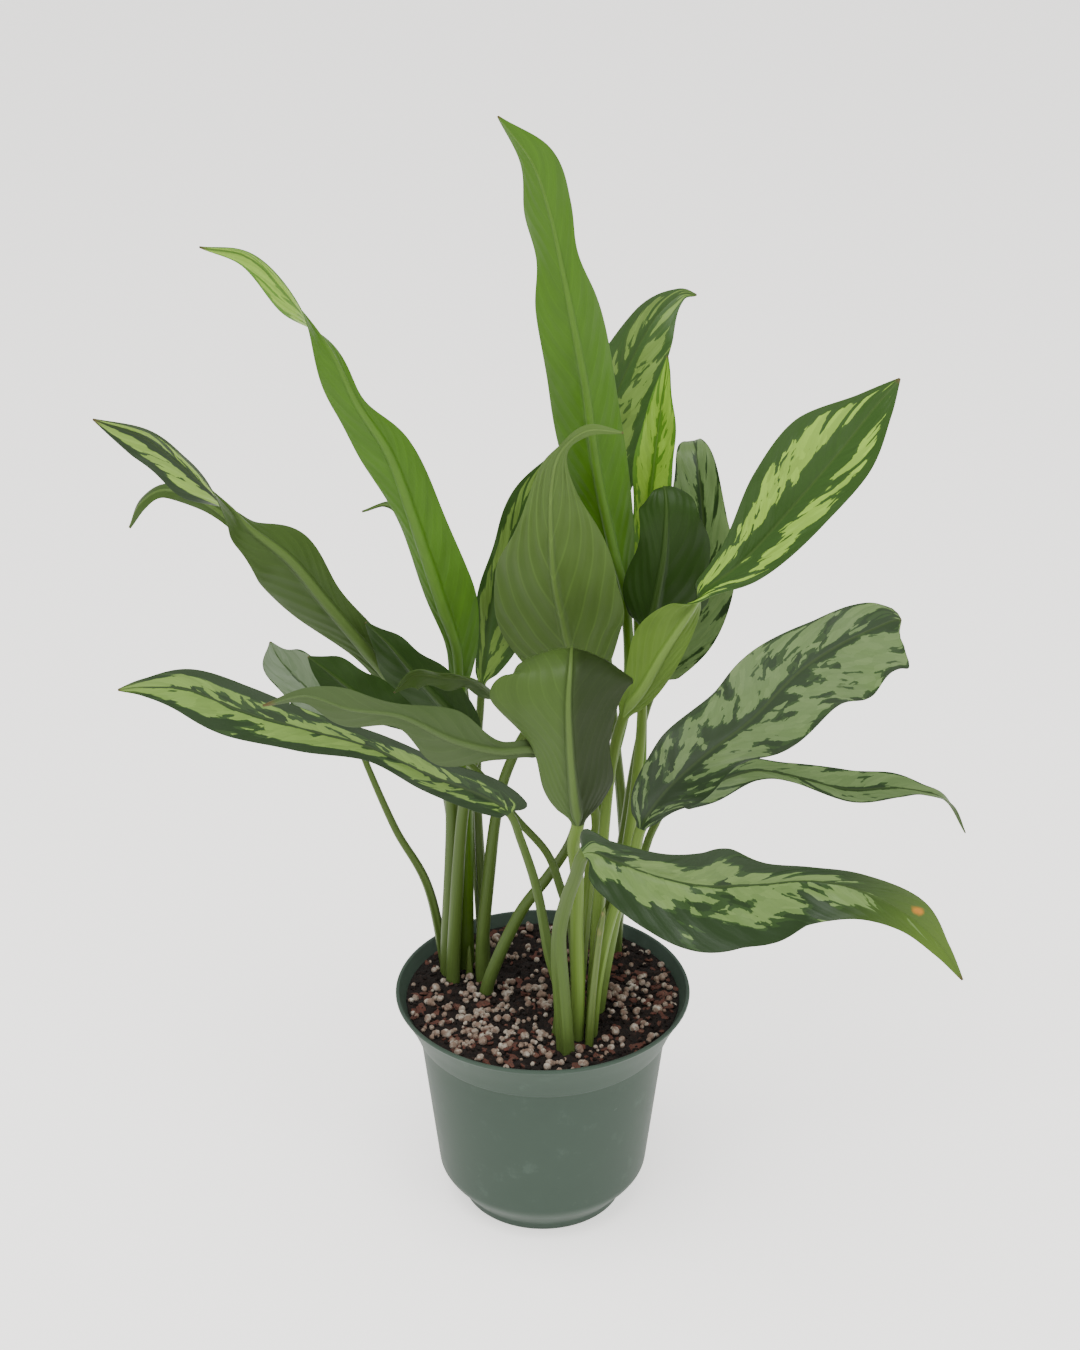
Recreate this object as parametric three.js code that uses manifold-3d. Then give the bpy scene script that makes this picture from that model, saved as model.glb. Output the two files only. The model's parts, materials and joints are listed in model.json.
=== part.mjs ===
// A potted Chinese evergreen (Aglaonema): a moulded nursery pot, its potting mix,
// and the leaves, each grown as one piece with its stalk.
// Millimetres, +Z up, origin at the centre of the pot's base, -Y towards the front.
import * as THREE from "three";
import Module from "manifold-3d";
import { mergeVertices } from "three/addons/utils/BufferGeometryUtils.js";

const wasm = await Module();
wasm.setup();

// ---------------------------------------------------------------- driving dimensions

const POT = {
  height: 126,
  rimRadius: 77.5,
  bandFootRadius: 65,
  bandHeight: 24,
  bodyFootRadius: 55.5,
  bodyFootHeight: 20,
  footRadius: 43,
  footHeight: 5,
  wall: 1.5,
  floorHeight: 3.8,
  sides: 40,
};
const PLINTH = { innerRadius: 35, padRadius: 11, recess: 2, chamfer: 1.5 };
const DRAIN = { count: 8, radius: 4, circle: 24 };
const SOIL = {
  level: 121,
  gap: 0.3,
  roughness: 1.6,
  rings: 5,
  seed: 11,
};
// lumps of each kind: how many, smallest and largest radius, and flatness
const LUMPS = [
  { count: 40, small: 1.8, large: 3.2, flat: 0.9 },
  { count: 14, small: 3.4, large: 5.8, flat: 0.5 },
];
const LEAF = {
  halfThickness: 0.45,
  rimHalfThickness: 0.34,
  scallop: 0.5,
  stepsPerRow: 2,
  stalkStepsPerRow: 1.5,
  frameSteps: 60,
  soilClearance: 0.35,
};
// the places across a blade, from its left edge to its right edge
const ACROSS = [-1, -0.5, 0, 0.5, 1];
// the front looks down on the plant by this angle, and a blade at turn 0 faces it
const FRONT_TILT = THREE.MathUtils.degToRad(27);
const FRONT = new THREE.Vector3(0, -Math.cos(FRONT_TILT), Math.sin(FRONT_TILT));

const COLOURS = {
  pot: { color: 0x5f7468, roughness: 0.55, metalness: 0 },
  soil: { color: 0x2b211d, roughness: 0.95, metalness: 0 },
  leaf: { color: 0x43652f, roughness: 0.42, metalness: 0 },
  youngLeaf: { color: 0x678a2b, roughness: 0.4, metalness: 0 },
  sheath: { color: 0x8a9a4a, roughness: 0.6, metalness: 0 },
};

// The view in which most places of the leaves were read: its eye in mm, and in pixels its
// focal length and the middle of its picture. It looks the way that FRONT faces away from.
const VIEW = { eye: new THREE.Vector3(-1.44, -1238.3, 941.1), focal: 2800, middle: [540, 675] };
const VIEW_UP = new THREE.Vector3(0, Math.sin(FRONT_TILT), Math.cos(FRONT_TILT));

// The point in mm, to the nearest millimetre, that the view shows so many pixels across
// and down its picture, at this depth y in mm. The depths are judged by eye.
function seen(across, down, depth) {
  const sight = new THREE.Vector3((across - VIEW.middle[0]) / VIEW.focal, 0, 0)
    .addScaledVector(VIEW_UP, (VIEW.middle[1] - down) / VIEW.focal)
    .sub(FRONT);
  sight.multiplyScalar((depth - VIEW.eye.y) / sight.y).add(VIEW.eye);
  return sight.toArray().map((value) => Math.round(value) + 0);
}

// Each leaf: stalk points up from the potting mix, the stalk's foot and top radius, and
// the blade's rows from base to tip: midrib x, y, z, width to the left and to the right
// of the midrib, and the blade's turn about it in degrees (0 shows its upper side to the
// front, 180 its underside). fold and curl lift the two halves like a V and a bowl, wave
// is the ripple of the edges (height, count, phase), and lobe draws the left and right
// halves back past the base. A ripple also pushes the edge out and in (LEAF.scallop).
const LEAVES = {
  leaf_crown: {
    stalk: [
      [27, -3, 104], [28, -4, 140], seen(595, 850, -2), seen(608, 780, 8), seen(628, 690, 20),
    ],
    radius: [3.4, 2.6],
    blade: [
      [...seen(626, 600, 22), 4, 4, 180],
      [...seen(612, 545, 20), 13, 7, 180],
      [...seen(597, 470, 16), 19, 16, 180],
      [...seen(585, 386, 10), 16, 19, 180],
      [...seen(572, 312, 2), 14, 20, 182],
      [...seen(561, 260, -2), 11, 12, 183],
      [...seen(550, 213, -7), 11, 13, 184],
      [...seen(532, 163, -15), 10, 7, 186],
      [...seen(497, 117, -26), 0.5, 0.5, 188],
    ],
    fold: 18, curl: 20, wave: [2.5, 2.6, 0.1], lobe: [0, 0],
  },
  leaf_left_tall: {
    stalk: [
      [-40, 28, 104], [-41, 28, 140], seen(465, 800, 22), seen(462, 730, 14),
    ],
    radius: [4.3, 3.6],
    blade: [
      [...seen(460, 690, 8), 5, 5, 180],
      [...seen(456, 648, 3), 12, 6, 180],
      [...seen(441, 600, -3), 19, 8, 180],
      [...seen(415, 525, -14), 15, 8, 178],
      [...seen(389, 455, -24), 11, 16, 172],
      [...seen(357, 402, -34), 5, 11, 158],
      [...seen(328, 350, -42), 8, 8, 110],
      [...seen(292, 301, -48), 8, 8, 40],
      [...seen(250, 258, -50), 6, 6, 20],
      [...seen(200, 246, -50), 0.5, 0.5, 20],
    ],
    fold: 16, curl: 16, wave: [1.6, 3, 0], lobe: [0, 0],
  },
  leaf_left_upper: {
    stalk: [
      [-51, 22, 104], [-50, 22, 140], seen(452, 800, 16), seen(425, 725, 6),
    ],
    radius: [4.1, 3.2],
    blade: [
      [...seen(398, 692, -2), 5, 5, 180],
      [...seen(365, 650, -8), 11, 8, 180],
      [...seen(327, 602, -15), 11, 17, 180],
      [...seen(290, 560, -22), 14, 20, 172],
      [...seen(252, 530, -28), 7, 12, 140],
      [...seen(229, 508, -32), 8, 9, 84],
      [...seen(203, 484, -35), 10, 10, 52],
      [...seen(175, 459, -37), 12, 12, 40],
      [...seen(141, 437, -40), 11, 10, 30],
      [...seen(93, 418, -44), 0.5, 0.5, 30],
    ],
    fold: 16, curl: 16, wave: [2.4, 3, 0.2], lobe: [0, 0],
  },
  leaf_left_hook: {
    stalk: [
      [-44, 38, 104], [-45, 40, 140], seen(448, 800, 46), seen(420, 725, 42),
    ],
    radius: [3, 2],
    blade: [
      [...seen(385, 670, 36), 3, 3, 180],
      [...seen(345, 625, 38), 5, 5, 180],
      [...seen(300, 583, 40), 5, 5, 180],
      [...seen(250, 537, 42), 4, 4, 180],
      [...seen(205, 503, 44), 4, 4, 170],
      [...seen(165, 491, 46), 4, 4, 160],
      [...seen(140, 503, 48), 4, 4, 150],
      [...seen(130, 528, 50), 1, 1, 150],
    ],
    fold: 14, curl: 14, wave: [1.2, 3, 0], lobe: [0, 0],
  },
  leaf_left_low: {
    stalk: [
      [6, -36, 104], seen(560, 1000, -36), seen(549, 952, -36), seen(537, 890, -38),
      seen(520, 840, -40),
    ],
    radius: [3.2, 2],
    blade: [
      [...seen(508, 813, -44), 4, 7, 0],
      [...seen(480, 794, -48), 8, 12, 0],
      [...seen(430, 775, -55), 9, 10, 0],
      [...seen(370, 747, -62), 6, 9, 0],
      [...seen(300, 728, -67), 11, 11, 0],
      [...seen(240, 711, -70), 14, 14, 0],
      [...seen(190, 690, -72), 11, 12, 0],
      [...seen(145, 687, -73), 5, 5, 0],
      [...seen(118, 690, -74), 0.5, 0.5, 0],
    ],
    fold: 10, curl: 12, wave: [1.2, 3, 0], lobe: [4, 14],
  },
  leaf_left_front: {
    stalk: [
      [-31, 2, 104], [-28, 0, 130], seen(520, 915, -2), seen(549, 876, -8), seen(573, 836, -18),
      seen(577, 795, -34),
    ],
    radius: [3.2, 2],
    blade: [
      [...seen(545, 752, -45), 5, 5, 180],
      [...seen(500, 752, -55), 5, 5, 180],
      [...seen(453, 740, -66), 14, 14, 180],
      [...seen(400, 717, -76), 6, 6, 180],
      [...seen(350, 709, -84), 9, 9, 185],
      [...seen(305, 696, -88), 4, 4, 190],
      [...seen(263, 706, -88), 0.5, 0.5, 200],
    ],
    fold: 8, curl: 8, wave: [1.2, 3, 0], lobe: [0, 0],
  },
  leaf_left_pale: {
    stalk: [
      [-50, 30, 104], seen(430, 890, 30), seen(396, 830, 32), seen(367, 766, 34),
    ],
    radius: [2.8, 1.6],
    blade: [
      [...seen(355, 735, 40), 4, 4, 0],
      [...seen(325, 705, 48), 11, 13, 0],
      [...seen(298, 680, 58), 13, 13, 0],
      [...seen(280, 660, 68), 9, 8, 0],
      [...seen(270, 641, 78), 0.5, 0.5, 0],
    ],
    fold: 10, curl: 10, wave: [3, 1.5, 0], lobe: [0, 0],
  },
  leaf_left_pointed: {
    stalk: [
      [15, -30, 104], [17, -28, 130], seen(573, 930, -24), seen(560, 889, -22),
      seen(546, 853, -24), seen(516, 818, -28), seen(475, 770, -30),
    ],
    radius: [2.6, 1.6],
    blade: [
      [...seen(430, 736, -32), 3, 3, 180],
      [...seen(395, 717, -36), 11, 6, 180],
      [...seen(360, 697, -40), 12, 10, 180],
      [...seen(330, 673, -43), 9, 8, 180],
      [...seen(308, 656, -45), 0.5, 0.5, 180],
    ],
    fold: 10, curl: 8, wave: [1.2, 3, 0], lobe: [0, 0],
  },
  leaf_left_curl: {
    stalk: [
      [17, -19, 104], [19, -18, 140], seen(592, 850, -12), seen(597, 826, -13),
      seen(588, 790, -15), seen(560, 750, -18), seen(530, 715, -20),
    ],
    radius: [3, 2],
    blade: [
      [...seen(498, 699, -26), 3, 3, 60],
      [...seen(470, 681, -28), 6, 6, 50],
      [...seen(442, 677, -32), 6, 6, 42],
      [...seen(415, 675, -36), 7, 7, 36],
      [...seen(394, 692, -40), 0.5, 0.5, 30],
    ],
    fold: 10, curl: 20, wave: [1.2, 3, 0], lobe: [0, 0],
  },
  leaf_left_inner: {
    stalk: [
      [-48, 14, 104], [-47, 14, 140], seen(462, 830, 8), seen(470, 775, 0),
    ],
    radius: [3.6, 2.8],
    blade: [
      [...seen(475, 742, -6), 4, 4, 180],
      [...seen(445, 708, -10), 13, 14, 180],
      [...seen(415, 673, -14), 11, 15, 180],
      [...seen(390, 645, -16), 6, 9, 180],
      [...seen(366, 622, -18), 0.5, 0.5, 180],
    ],
    fold: 8, curl: 8, wave: [1.2, 3, 0], lobe: [0, 0],
  },
  leaf_centre: {
    stalk: [
      [-31, 14, 104], [-32, 15, 140], seen(489, 873, 14), seen(496, 816, 12), seen(508, 770, 8),
      seen(532, 722, 8),
    ],
    radius: [3.6, 2.4],
    blade: [
      [...seen(574, 688, 14), 10, 20, 180],
      [...seen(566, 630, 8), 29, 36, 180],
      [...seen(556, 585, 2), 31, 31, 180],
      [...seen(551, 540, -6), 24, 20, 180],
      [...seen(552, 490, -16), 13, 9, 180],
      [...seen(561, 452, -26), 3, 3, 180],
      [...seen(586, 431, -34), 3, 3, 200],
      [...seen(624, 433, -36), 0.5, 0.5, 220],
    ],
    fold: 6, curl: 8, wave: [1.6, 3, 0], lobe: [0, 4],
  },
  leaf_front_folded: {
    stalk: [
      [17, -39, 104], seen(578, 1000, -41), seen(577, 930, -44), seen(578, 880, -48),
      seen(574, 845, -54),
    ],
    radius: [3.4, 3.2],
    blade: [
      [...seen(577, 822, -56), 6, 6, 180],
      [...seen(574, 795, -58), 20, 16, 180],
      [...seen(571, 750, -60), 21, 20, 180],
      [...seen(568, 705, -59), 26, 41, 180],
      [...seen(570, 668, -51), 33, 30, 180],
      [14, -32, 341, 30, 26, 180],
      [16, -15, 325, 18, 16, 180],
      [18, -6, 303, 0.5, 0.5, 180],
    ],
    fold: 8, curl: 26, wave: [1.2, 3, 0], lobe: [0, 0],
  },
  leaf_dark_upright: {
    stalk: [
      [27, -16, 104], [31, -14, 140], seen(628, 850, -6), seen(640, 740, 2), seen(644, 660, 8),
    ],
    radius: [3.6, 2.2],
    blade: [
      [...seen(650, 632, 10), 8, 8, 180],
      [...seen(657, 600, 10), 26, 18, 180],
      [...seen(664, 562, 9), 23, 14, 180],
      [...seen(667, 528, 9), 19, 14, 180],
      [...seen(667, 502, 12), 14, 12, 180],
      [...seen(664, 486, 20), 5, 5, 180],
      [...seen(662, 500, 30), 0.5, 0.5, 180],
    ],
    fold: 8, curl: 10, wave: [1.8, 3, 0], lobe: [0, 0],
  },
  leaf_behind_centre: {
    stalk: [
      [-31, 26, 104], [-31, 26, 140], seen(477, 800, 30), seen(478, 735, 28), seen(480, 712, 26),
    ],
    radius: [2.8, 2],
    blade: [
      [...seen(482, 684, 28), 3, 3, 0],
      [...seen(485, 652, 30), 5, 14, 0],
      [...seen(494, 600, 32), 8, 20, 0],
      [...seen(508, 550, 36), 9, 20, 0],
      [...seen(530, 495, 40), 9, 12, 0],
      [...seen(558, 450, 44), 0.5, 0.5, 0],
    ],
    fold: 10, curl: 12, wave: [1.2, 3, 0], lobe: [0, 0],
  },
  leaf_back_upper: {
    stalk: [
      [39, 40, 104], [40, 42, 140], seen(624, 850, 56), seen(614, 720, 56), seen(605, 640, 54),
    ],
    radius: [3.4, 2],
    blade: [
      [...seen(592, 580, 58), 5, 5, 0],
      [...seen(588, 520, 64), 13, 16, 0],
      [...seen(598, 450, 72), 16, 22, 0],
      [...seen(620, 385, 80), 18, 19, 0],
      [...seen(650, 325, 88), 12, 13, 0],
      [...seen(678, 296, 94), 4, 4, 0],
      [...seen(696, 295, 98), 0.5, 0.5, 0],
    ],
    fold: 14, curl: 12, wave: [1.2, 3, 0], lobe: [0, 0],
  },
  leaf_young_rolled: {
    stalk: [
      [29, 7, 104], [32, 9, 140], seen(636, 850, 18), seen(642, 720, 31), seen(638, 620, 34),
    ],
    radius: [3.2, 2.2],
    blade: [
      [...seen(642, 570, 36), 6, 6, 0],
      [...seen(649, 505, 41), 11, 11, 0],
      [...seen(656, 445, 46), 13, 12, 0],
      [...seen(664, 395, 50), 7, 6, 0],
      [...seen(668, 356, 54), 0.5, 0.5, 0],
    ],
    fold: 25, curl: 30, wave: [1.2, 3, 0], lobe: [0, 0],
  },
  leaf_back_arched: {
    stalk: [
      [31, 33, 104], [33, 34, 140], seen(620, 850, 38), seen(632, 770, 40), seen(645, 715, 42),
    ],
    radius: [2.8, 1.8],
    blade: [
      [...seen(660, 680, 44), 5, 6, 0],
      [...seen(690, 630, 48), 18, 15, 0],
      [82, 52, 343, 18, 16, 0],
      [81, 56, 370, 17, 13, 0],
      [79, 62, 389, 14, 10, 0],
      [77, 72, 401, 9, 7, 0],
      [77, 84, 401, 4, 3, 0],
      [77, 93, 391, 0.5, 0.5, 0],
    ],
    fold: 6, curl: 10, wave: [1.2, 3, 0], lobe: [0, 0],
  },
  leaf_right_upper: {
    stalk: [
      [24, -26, 104], [26, -26, 140], seen(602, 850, -24), seen(612, 765, -20),
    ],
    radius: [3.2, 2.6],
    blade: [
      [...seen(624, 716, -18), 5, 5, 180],
      [...seen(642, 688, -18), 8, 11, 180],
      [...seen(664, 652, -18), 10, 17, 180],
      [...seen(690, 612, -18), 8, 10, 140],
      [...seen(706, 590, -20), 6, 6, 60],
      [...seen(745, 560, -22), 14, 12, 10],
      [...seen(795, 505, -20), 26, 16, 0],
      [...seen(840, 450, -16), 27, 18, 0],
      [...seen(875, 405, -12), 10, 9, 0],
      [...seen(901, 379, -8), 0.5, 0.5, 0],
    ],
    fold: 8, curl: 8, wave: [1.6, 3, 0], lobe: [0, 0],
  },
  leaf_right_wavy: {
    stalk: [
      [24, -36, 104], seen(596, 990, -36), seen(607, 935, -35), seen(618, 895, -34),
      seen(632, 862, -33),
    ],
    radius: [3.1, 2.8],
    blade: [
      [...seen(641, 826, -34), 4, 4, 0],
      [...seen(666, 793, -40), 17, 12, 0],
      [...seen(705, 757, -49), 23, 16, 0],
      [...seen(750, 720, -59), 25, 19, 0],
      [...seen(797, 673, -69), 24, 27, 0],
      [...seen(838, 645, -77), 19, 26, 0],
      [...seen(873, 628, -82), 17, 25, 0],
      [...seen(892, 621, -84), 10, 19, 0],
      [...seen(902, 619, -85), 0.5, 0.5, 0],
    ],
    fold: 6, curl: 8, wave: [3.5, 4.5, 0.1], lobe: [0, 0], steps: 3,
  },
  leaf_right_thin: {
    stalk: [
      [30, 20, 104], [33, 22, 140], seen(640, 860, 38), seen(652, 830, 42),
    ],
    radius: [3, 2],
    blade: [
      [...seen(672, 800, 40), 8, 8, 0],
      [...seen(710, 785, 44), 12, 10, 0],
      [...seen(752, 771, 52), 8, 7, 20],
      [...seen(790, 775, 60), 6, 7, 30],
      [...seen(845, 789, 68), 11, 12, 30],
      [...seen(890, 789, 76), 10, 9, 30],
      [...seen(922, 792, 83), 4, 4, 40],
      [...seen(946, 802, 88), 4, 4, 50],
      [...seen(965, 833, 92), 0.5, 0.5, 60],
    ],
    fold: 14, curl: 14, wave: [1.2, 3, 0], lobe: [0, 0],
  },
  leaf_right_low: {
    stalk: [
      [13, -49, 104], seen(563, 1000, -52), seen(559, 940, -56), seen(566, 905, -63),
      seen(576, 875, -71),
    ],
    radius: [4.3, 3.2],
    blade: [
      [...seen(586, 853, -76), 13, 6, 0],
      [...seen(615, 862, -82), 11, 18, 0],
      [...seen(660, 878, -91), 14, 26, 0],
      [...seen(705, 886, -99), 19, 30, 0],
      [...seen(740, 885, -105), 20, 30, 0],
      [...seen(768, 883, -110), 12, 29, 0],
      [...seen(810, 881, -117), 8, 20, 0],
      [...seen(860, 890, -124), 9, 14, 0],
      [...seen(910, 915, -130), 11, 9, 0],
      [...seen(943, 948, -134), 4, 5, 0],
      [...seen(962, 980, -137), 0.5, 0.5, 0],
    ],
    fold: 10, curl: 16, wave: [1.6, 3, 0], lobe: [12, 0],
  },
  leaf_back_hook: {
    stalk: [
      [-33, 34, 104], [-33, 36, 140], seen(472, 800, 40), seen(470, 735, 40),
    ],
    radius: [2.6, 2],
    blade: [
      [...seen(462, 680, 38), 5, 5, 180],
      [...seen(450, 610, 38), 8, 8, 180],
      [...seen(432, 555, 38), 8, 8, 180],
      [...seen(408, 518, 38), 4, 4, 180],
      [...seen(386, 505, 39), 1.5, 1.5, 180],
      [...seen(363, 511, 40), 0.5, 0.5, 180],
    ],
    fold: 14, curl: 14, wave: [1.2, 3, 0], lobe: [0, 0],
  },
};

// Young sheaths with no blade: points up from the potting mix, foot and top radius
const SHEATHS = {
  sheath_right: {
    stalk: [[23, -44, 104], [25, -43, 146], [28, -42, 181], [31, -41, 201]],
    radius: [2.3, 1.8],
  },
  sheath_left: {
    stalk: [[-39, 19, 104], [-39, 19, 124], [-39, 20, 139]],
    radius: [3.4, 0.8],
  },
};

// ---------------------------------------------------------------- small tools

/** The same random numbers each run, from 0 to 1. */
function seededRandom(seed) {
  let state = seed;
  return () => {
    state = (state * 1664525 + 1013904223) % 4294967296;
    return state / 4294967296;
  };
}

/** Catmull-Rom interpolation of rows of numbers at a place counted in rows. */
function rowAt(rows, place) {
  const last = rows.length - 1;
  const at = Math.min(Math.max(place, 0), last);
  const i = Math.min(Math.floor(at), last - 1);
  const f = at - i;
  const b = rows[i];
  const c = rows[i + 1];
  return b.map((start, k) => {
    const before = i > 0 ? rows[i - 1][k] : 2 * start - c[k];
    const after = i + 2 <= last ? rows[i + 2][k] : 2 * c[k] - start;
    const linear = c[k] - before;
    const square = 2 * before - 5 * start + 4 * c[k] - after;
    const cubic = 3 * start - before - 3 * c[k] + after;
    return 0.5 * (2 * start + linear * f + square * f * f + cubic * f * f * f);
  });
}

/** A mesh whose corners are shared and whose flat triangles are dropped, as a solid. */
function toSolid(geometry) {
  const bare = geometry.clone();
  bare.deleteAttribute("normal");
  bare.deleteAttribute("uv");
  const merged = mergeVertices(bare, 1e-4);
  const corners = Array.from(merged.index.array);
  const kept = [];
  for (let i = 0; i < corners.length; i += 3) {
    const [a, b, c] = corners.slice(i, i + 3);
    if (a !== b && b !== c && c !== a) kept.push(a, b, c);
  }
  return new wasm.Manifold(new wasm.Mesh({
    numProp: 3,
    vertProperties: new Float32Array(merged.attributes.position.array),
    triVerts: new Uint32Array(kept),
  }));
}

/** A solid's vertices and triangles as a geometry. */
function toGeometry(solid) {
  const mesh = solid.getMesh();
  const geometry = new THREE.BufferGeometry();
  geometry.setAttribute("position", new THREE.BufferAttribute(new Float32Array(mesh.vertProperties), 3));
  geometry.setIndex(new THREE.BufferAttribute(new Uint32Array(mesh.triVerts), 1));
  geometry.computeVertexNormals();
  return geometry;
}

/** A profile of [radius, height] points turned about the Z axis. */
function turned(profile, sides) {
  const points = profile.map(([radius, height]) => new THREE.Vector2(radius, height));
  return new THREE.LatheGeometry(points, sides).rotateX(Math.PI / 2);
}

/** A closed body through rings of equally many points, with flat ends. */
function lofted(rings) {
  const count = rings[0].length;
  const half = count / 2;
  const corners = [];
  for (let i = 0; i + 1 < rings.length; i += 1) {
    for (let k = 0; k < count; k += 1) {
      const a = i * count + k;
      const b = i * count + (k + 1) % count;
      // both faces of a blade are cut along the same diagonal, so that they never cross
      if (k < half) corners.push(a, b + count, a + count, a, b, b + count);
      else corners.push(a, b, a + count, b, b + count, a + count);
    }
  }
  const top = (rings.length - 1) * count;
  for (let k = 0; k + 1 < half; k += 1) {
    const far = count - 1 - k;
    corners.push(k, far - 1, k + 1, k, far, far - 1);
    corners.push(top + k, top + k + 1, top + far - 1, top + k, top + far - 1, top + far);
  }
  const geometry = new THREE.BufferGeometry().setFromPoints(rings.flat());
  geometry.setIndex(corners);
  geometry.computeVertexNormals();
  return geometry;
}

// ---------------------------------------------------------------- leaves

/** The leaf's centre line: stalk points and midrib points in one list. */
function centreLine(leaf) {
  const midrib = (leaf.blade ?? []).map((row) => row.slice(0, 3));
  return [...leaf.stalk, ...midrib];
}

/** Point and direction of the centre line at a place counted in its points. */
function lineAt(line, place) {
  const point = new THREE.Vector3(...rowAt(line, place));
  const ahead = new THREE.Vector3(...rowAt(line, place + 0.02));
  const behind = new THREE.Vector3(...rowAt(line, place - 0.02));
  return { point, along: ahead.sub(behind).normalize() };
}

/** v made square to a direction, at length 1. */
function squareTo(v, along) {
  return v.clone().addScaledVector(along, -v.dot(along)).normalize();
}

/** The untwisted directions across the blade, carried along it from its base. */
function bladeFrames(leaf) {
  const line = centreLine(leaf);
  const start = leaf.stalk.length;
  const rows = leaf.blade.length - 1;
  const frames = [];
  let across = null;
  for (let i = 0; i <= LEAF.frameSteps; i += 1) {
    const { along } = lineAt(line, start + rows * i / LEAF.frameSteps);
    across = squareTo(across ?? along.clone().cross(FRONT), along);
    frames.push(across);
  }
  return frames;
}

/** Everything about the blade at one row place: point, directions, widths and turn. */
function bladeAt(leaf, frames, place) {
  const rows = leaf.blade.length - 1;
  const { point, along } = lineAt(centreLine(leaf), leaf.stalk.length + place);
  const step = place / rows * LEAF.frameSteps;
  const i = Math.min(Math.floor(step), LEAF.frameSteps - 1);
  const flat = squareTo(frames[i].clone().lerp(frames[i + 1], step - i), along);
  const facing = flat.clone().cross(along);
  const [, , , left, right, turn] = rowAt(leaf.blade, place);
  const angle = THREE.MathUtils.degToRad(turn);
  const across = flat.clone().multiplyScalar(Math.cos(angle)).addScaledVector(facing, Math.sin(angle));
  const up = facing.clone().multiplyScalar(Math.cos(angle)).addScaledVector(flat, -Math.sin(angle));
  const widths = { left: Math.max(left, 0.4), right: Math.max(right, 0.4) };
  return { point, along, across, up, ...widths, part: place / rows };
}

/** Height of the edge ripple at a part of the blade's length, on one side. */
function ripple(leaf, part, side) {
  const [height, count, phase] = leaf.wave;
  const fade = Math.min(1, 4 * part, 3 * (1 - part));
  const shift = side > 0 ? 0.37 : 0;
  return height * fade * Math.sin(2 * Math.PI * (count * part + phase + shift));
}

/** One ring round the blade: its upper face from left to right, then its lower face back. */
function bladeRing(leaf, frames, place) {
  const at = bladeAt(leaf, frames, place);
  const ridge = leaf.radius[1] * 1.2 * (1 - at.part) + 0.2;
  const upper = [];
  const lower = [];
  for (const q of ACROSS) {
    const side = Math.sign(q);
    const reach = Math.abs(q) * (q > 0 ? at.right : at.left);
    const lift = THREE.MathUtils.degToRad(leaf.fold + leaf.curl * Math.abs(q) / 2);
    const slope = THREE.MathUtils.degToRad(leaf.fold + leaf.curl * Math.abs(q)) * side;
    const back = leaf.lobe[q > 0 ? 1 : 0] * Math.max(0, 1 - at.part / 0.22) ** 1.5 * Math.abs(q) ** 1.3;
    const rise = q * q * ripple(leaf, at.part, side);
    const middle = at.point.clone()
      .addScaledVector(at.across, side * (reach * Math.cos(lift) + LEAF.scallop * rise))
      .addScaledVector(at.up, reach * Math.sin(lift) + rise)
      .addScaledVector(at.along, -back);
    const normal = at.up.clone().multiplyScalar(Math.cos(slope)).addScaledVector(at.across, -Math.sin(slope));
    const half = Math.abs(q) === 1 ? LEAF.rimHalfThickness : LEAF.halfThickness;
    upper.push(middle.clone().addScaledVector(normal, half));
    lower.push(middle.clone().addScaledVector(normal, -half - (q === 0 ? ridge : 0)));
  }
  return [...upper, ...lower.reverse()];
}

/** Round rings up a stalk; grow widens them, and drop lowers the foot. */
function stalkRings(leaf, across, grow = 0, drop = 0) {
  const line = centreLine(leaf);
  const last = leaf.blade ? leaf.stalk.length - 0.12 : leaf.stalk.length - 1;
  const steps = Math.round((leaf.stalk.length - 1) * LEAF.stalkStepsPerRow);
  const [footRadius, topRadius] = leaf.radius;
  const rings = [];
  let square = across;
  for (let i = steps; i >= 0; i -= 1) {
    const { point, along } = lineAt(line, last * i / steps);
    square = squareTo(square, along);
    const up = square.clone().cross(along);
    const radius = topRadius + (footRadius - topRadius) * (1 - i / steps) + grow;
    if (i === 0) point.z -= drop;
    const ring = [];
    for (let k = 0; k < ACROSS.length * 2; k += 1) {
      const angle = Math.PI * (0.9 - 0.2 * k);
      ring.push(point.clone()
        .addScaledVector(square, radius * Math.cos(angle))
        .addScaledVector(up, radius * Math.sin(angle)));
    }
    rings.unshift(ring);
  }
  return rings;
}

/** The direction across the leaf where its stalk meets its blade. */
function stalkAcross(leaf) {
  if (!leaf.blade) return new THREE.Vector3(1, 0, 0);
  return bladeAt(leaf, bladeFrames(leaf), 0).across;
}

/** One leaf, blade and stalk grown together, or a sheath, which is a stalk alone. */
function leafGeometry(leaf) {
  const rings = stalkRings(leaf, stalkAcross(leaf));
  if (leaf.blade) {
    const frames = bladeFrames(leaf);
    const steps = (leaf.blade.length - 1) * (leaf.steps ?? LEAF.stepsPerRow);
    for (let i = 0; i <= steps; i += 1) {
      rings.push(bladeRing(leaf, frames, (leaf.blade.length - 1) * i / steps));
    }
  }
  return lofted(rings);
}

/** The hole that a stalk stands in: its foot, a little wider and deeper. */
function stalkHole(leaf) {
  const rings = stalkRings(leaf, stalkAcross(leaf), LEAF.soilClearance, SOIL.gap);
  const clear = rings.findIndex((ring) => ring.every((corner) => corner.z > SOIL.level + 9));
  return toSolid(lofted(rings.slice(0, clear + 1)));
}

// ---------------------------------------------------------------- pot

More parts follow.
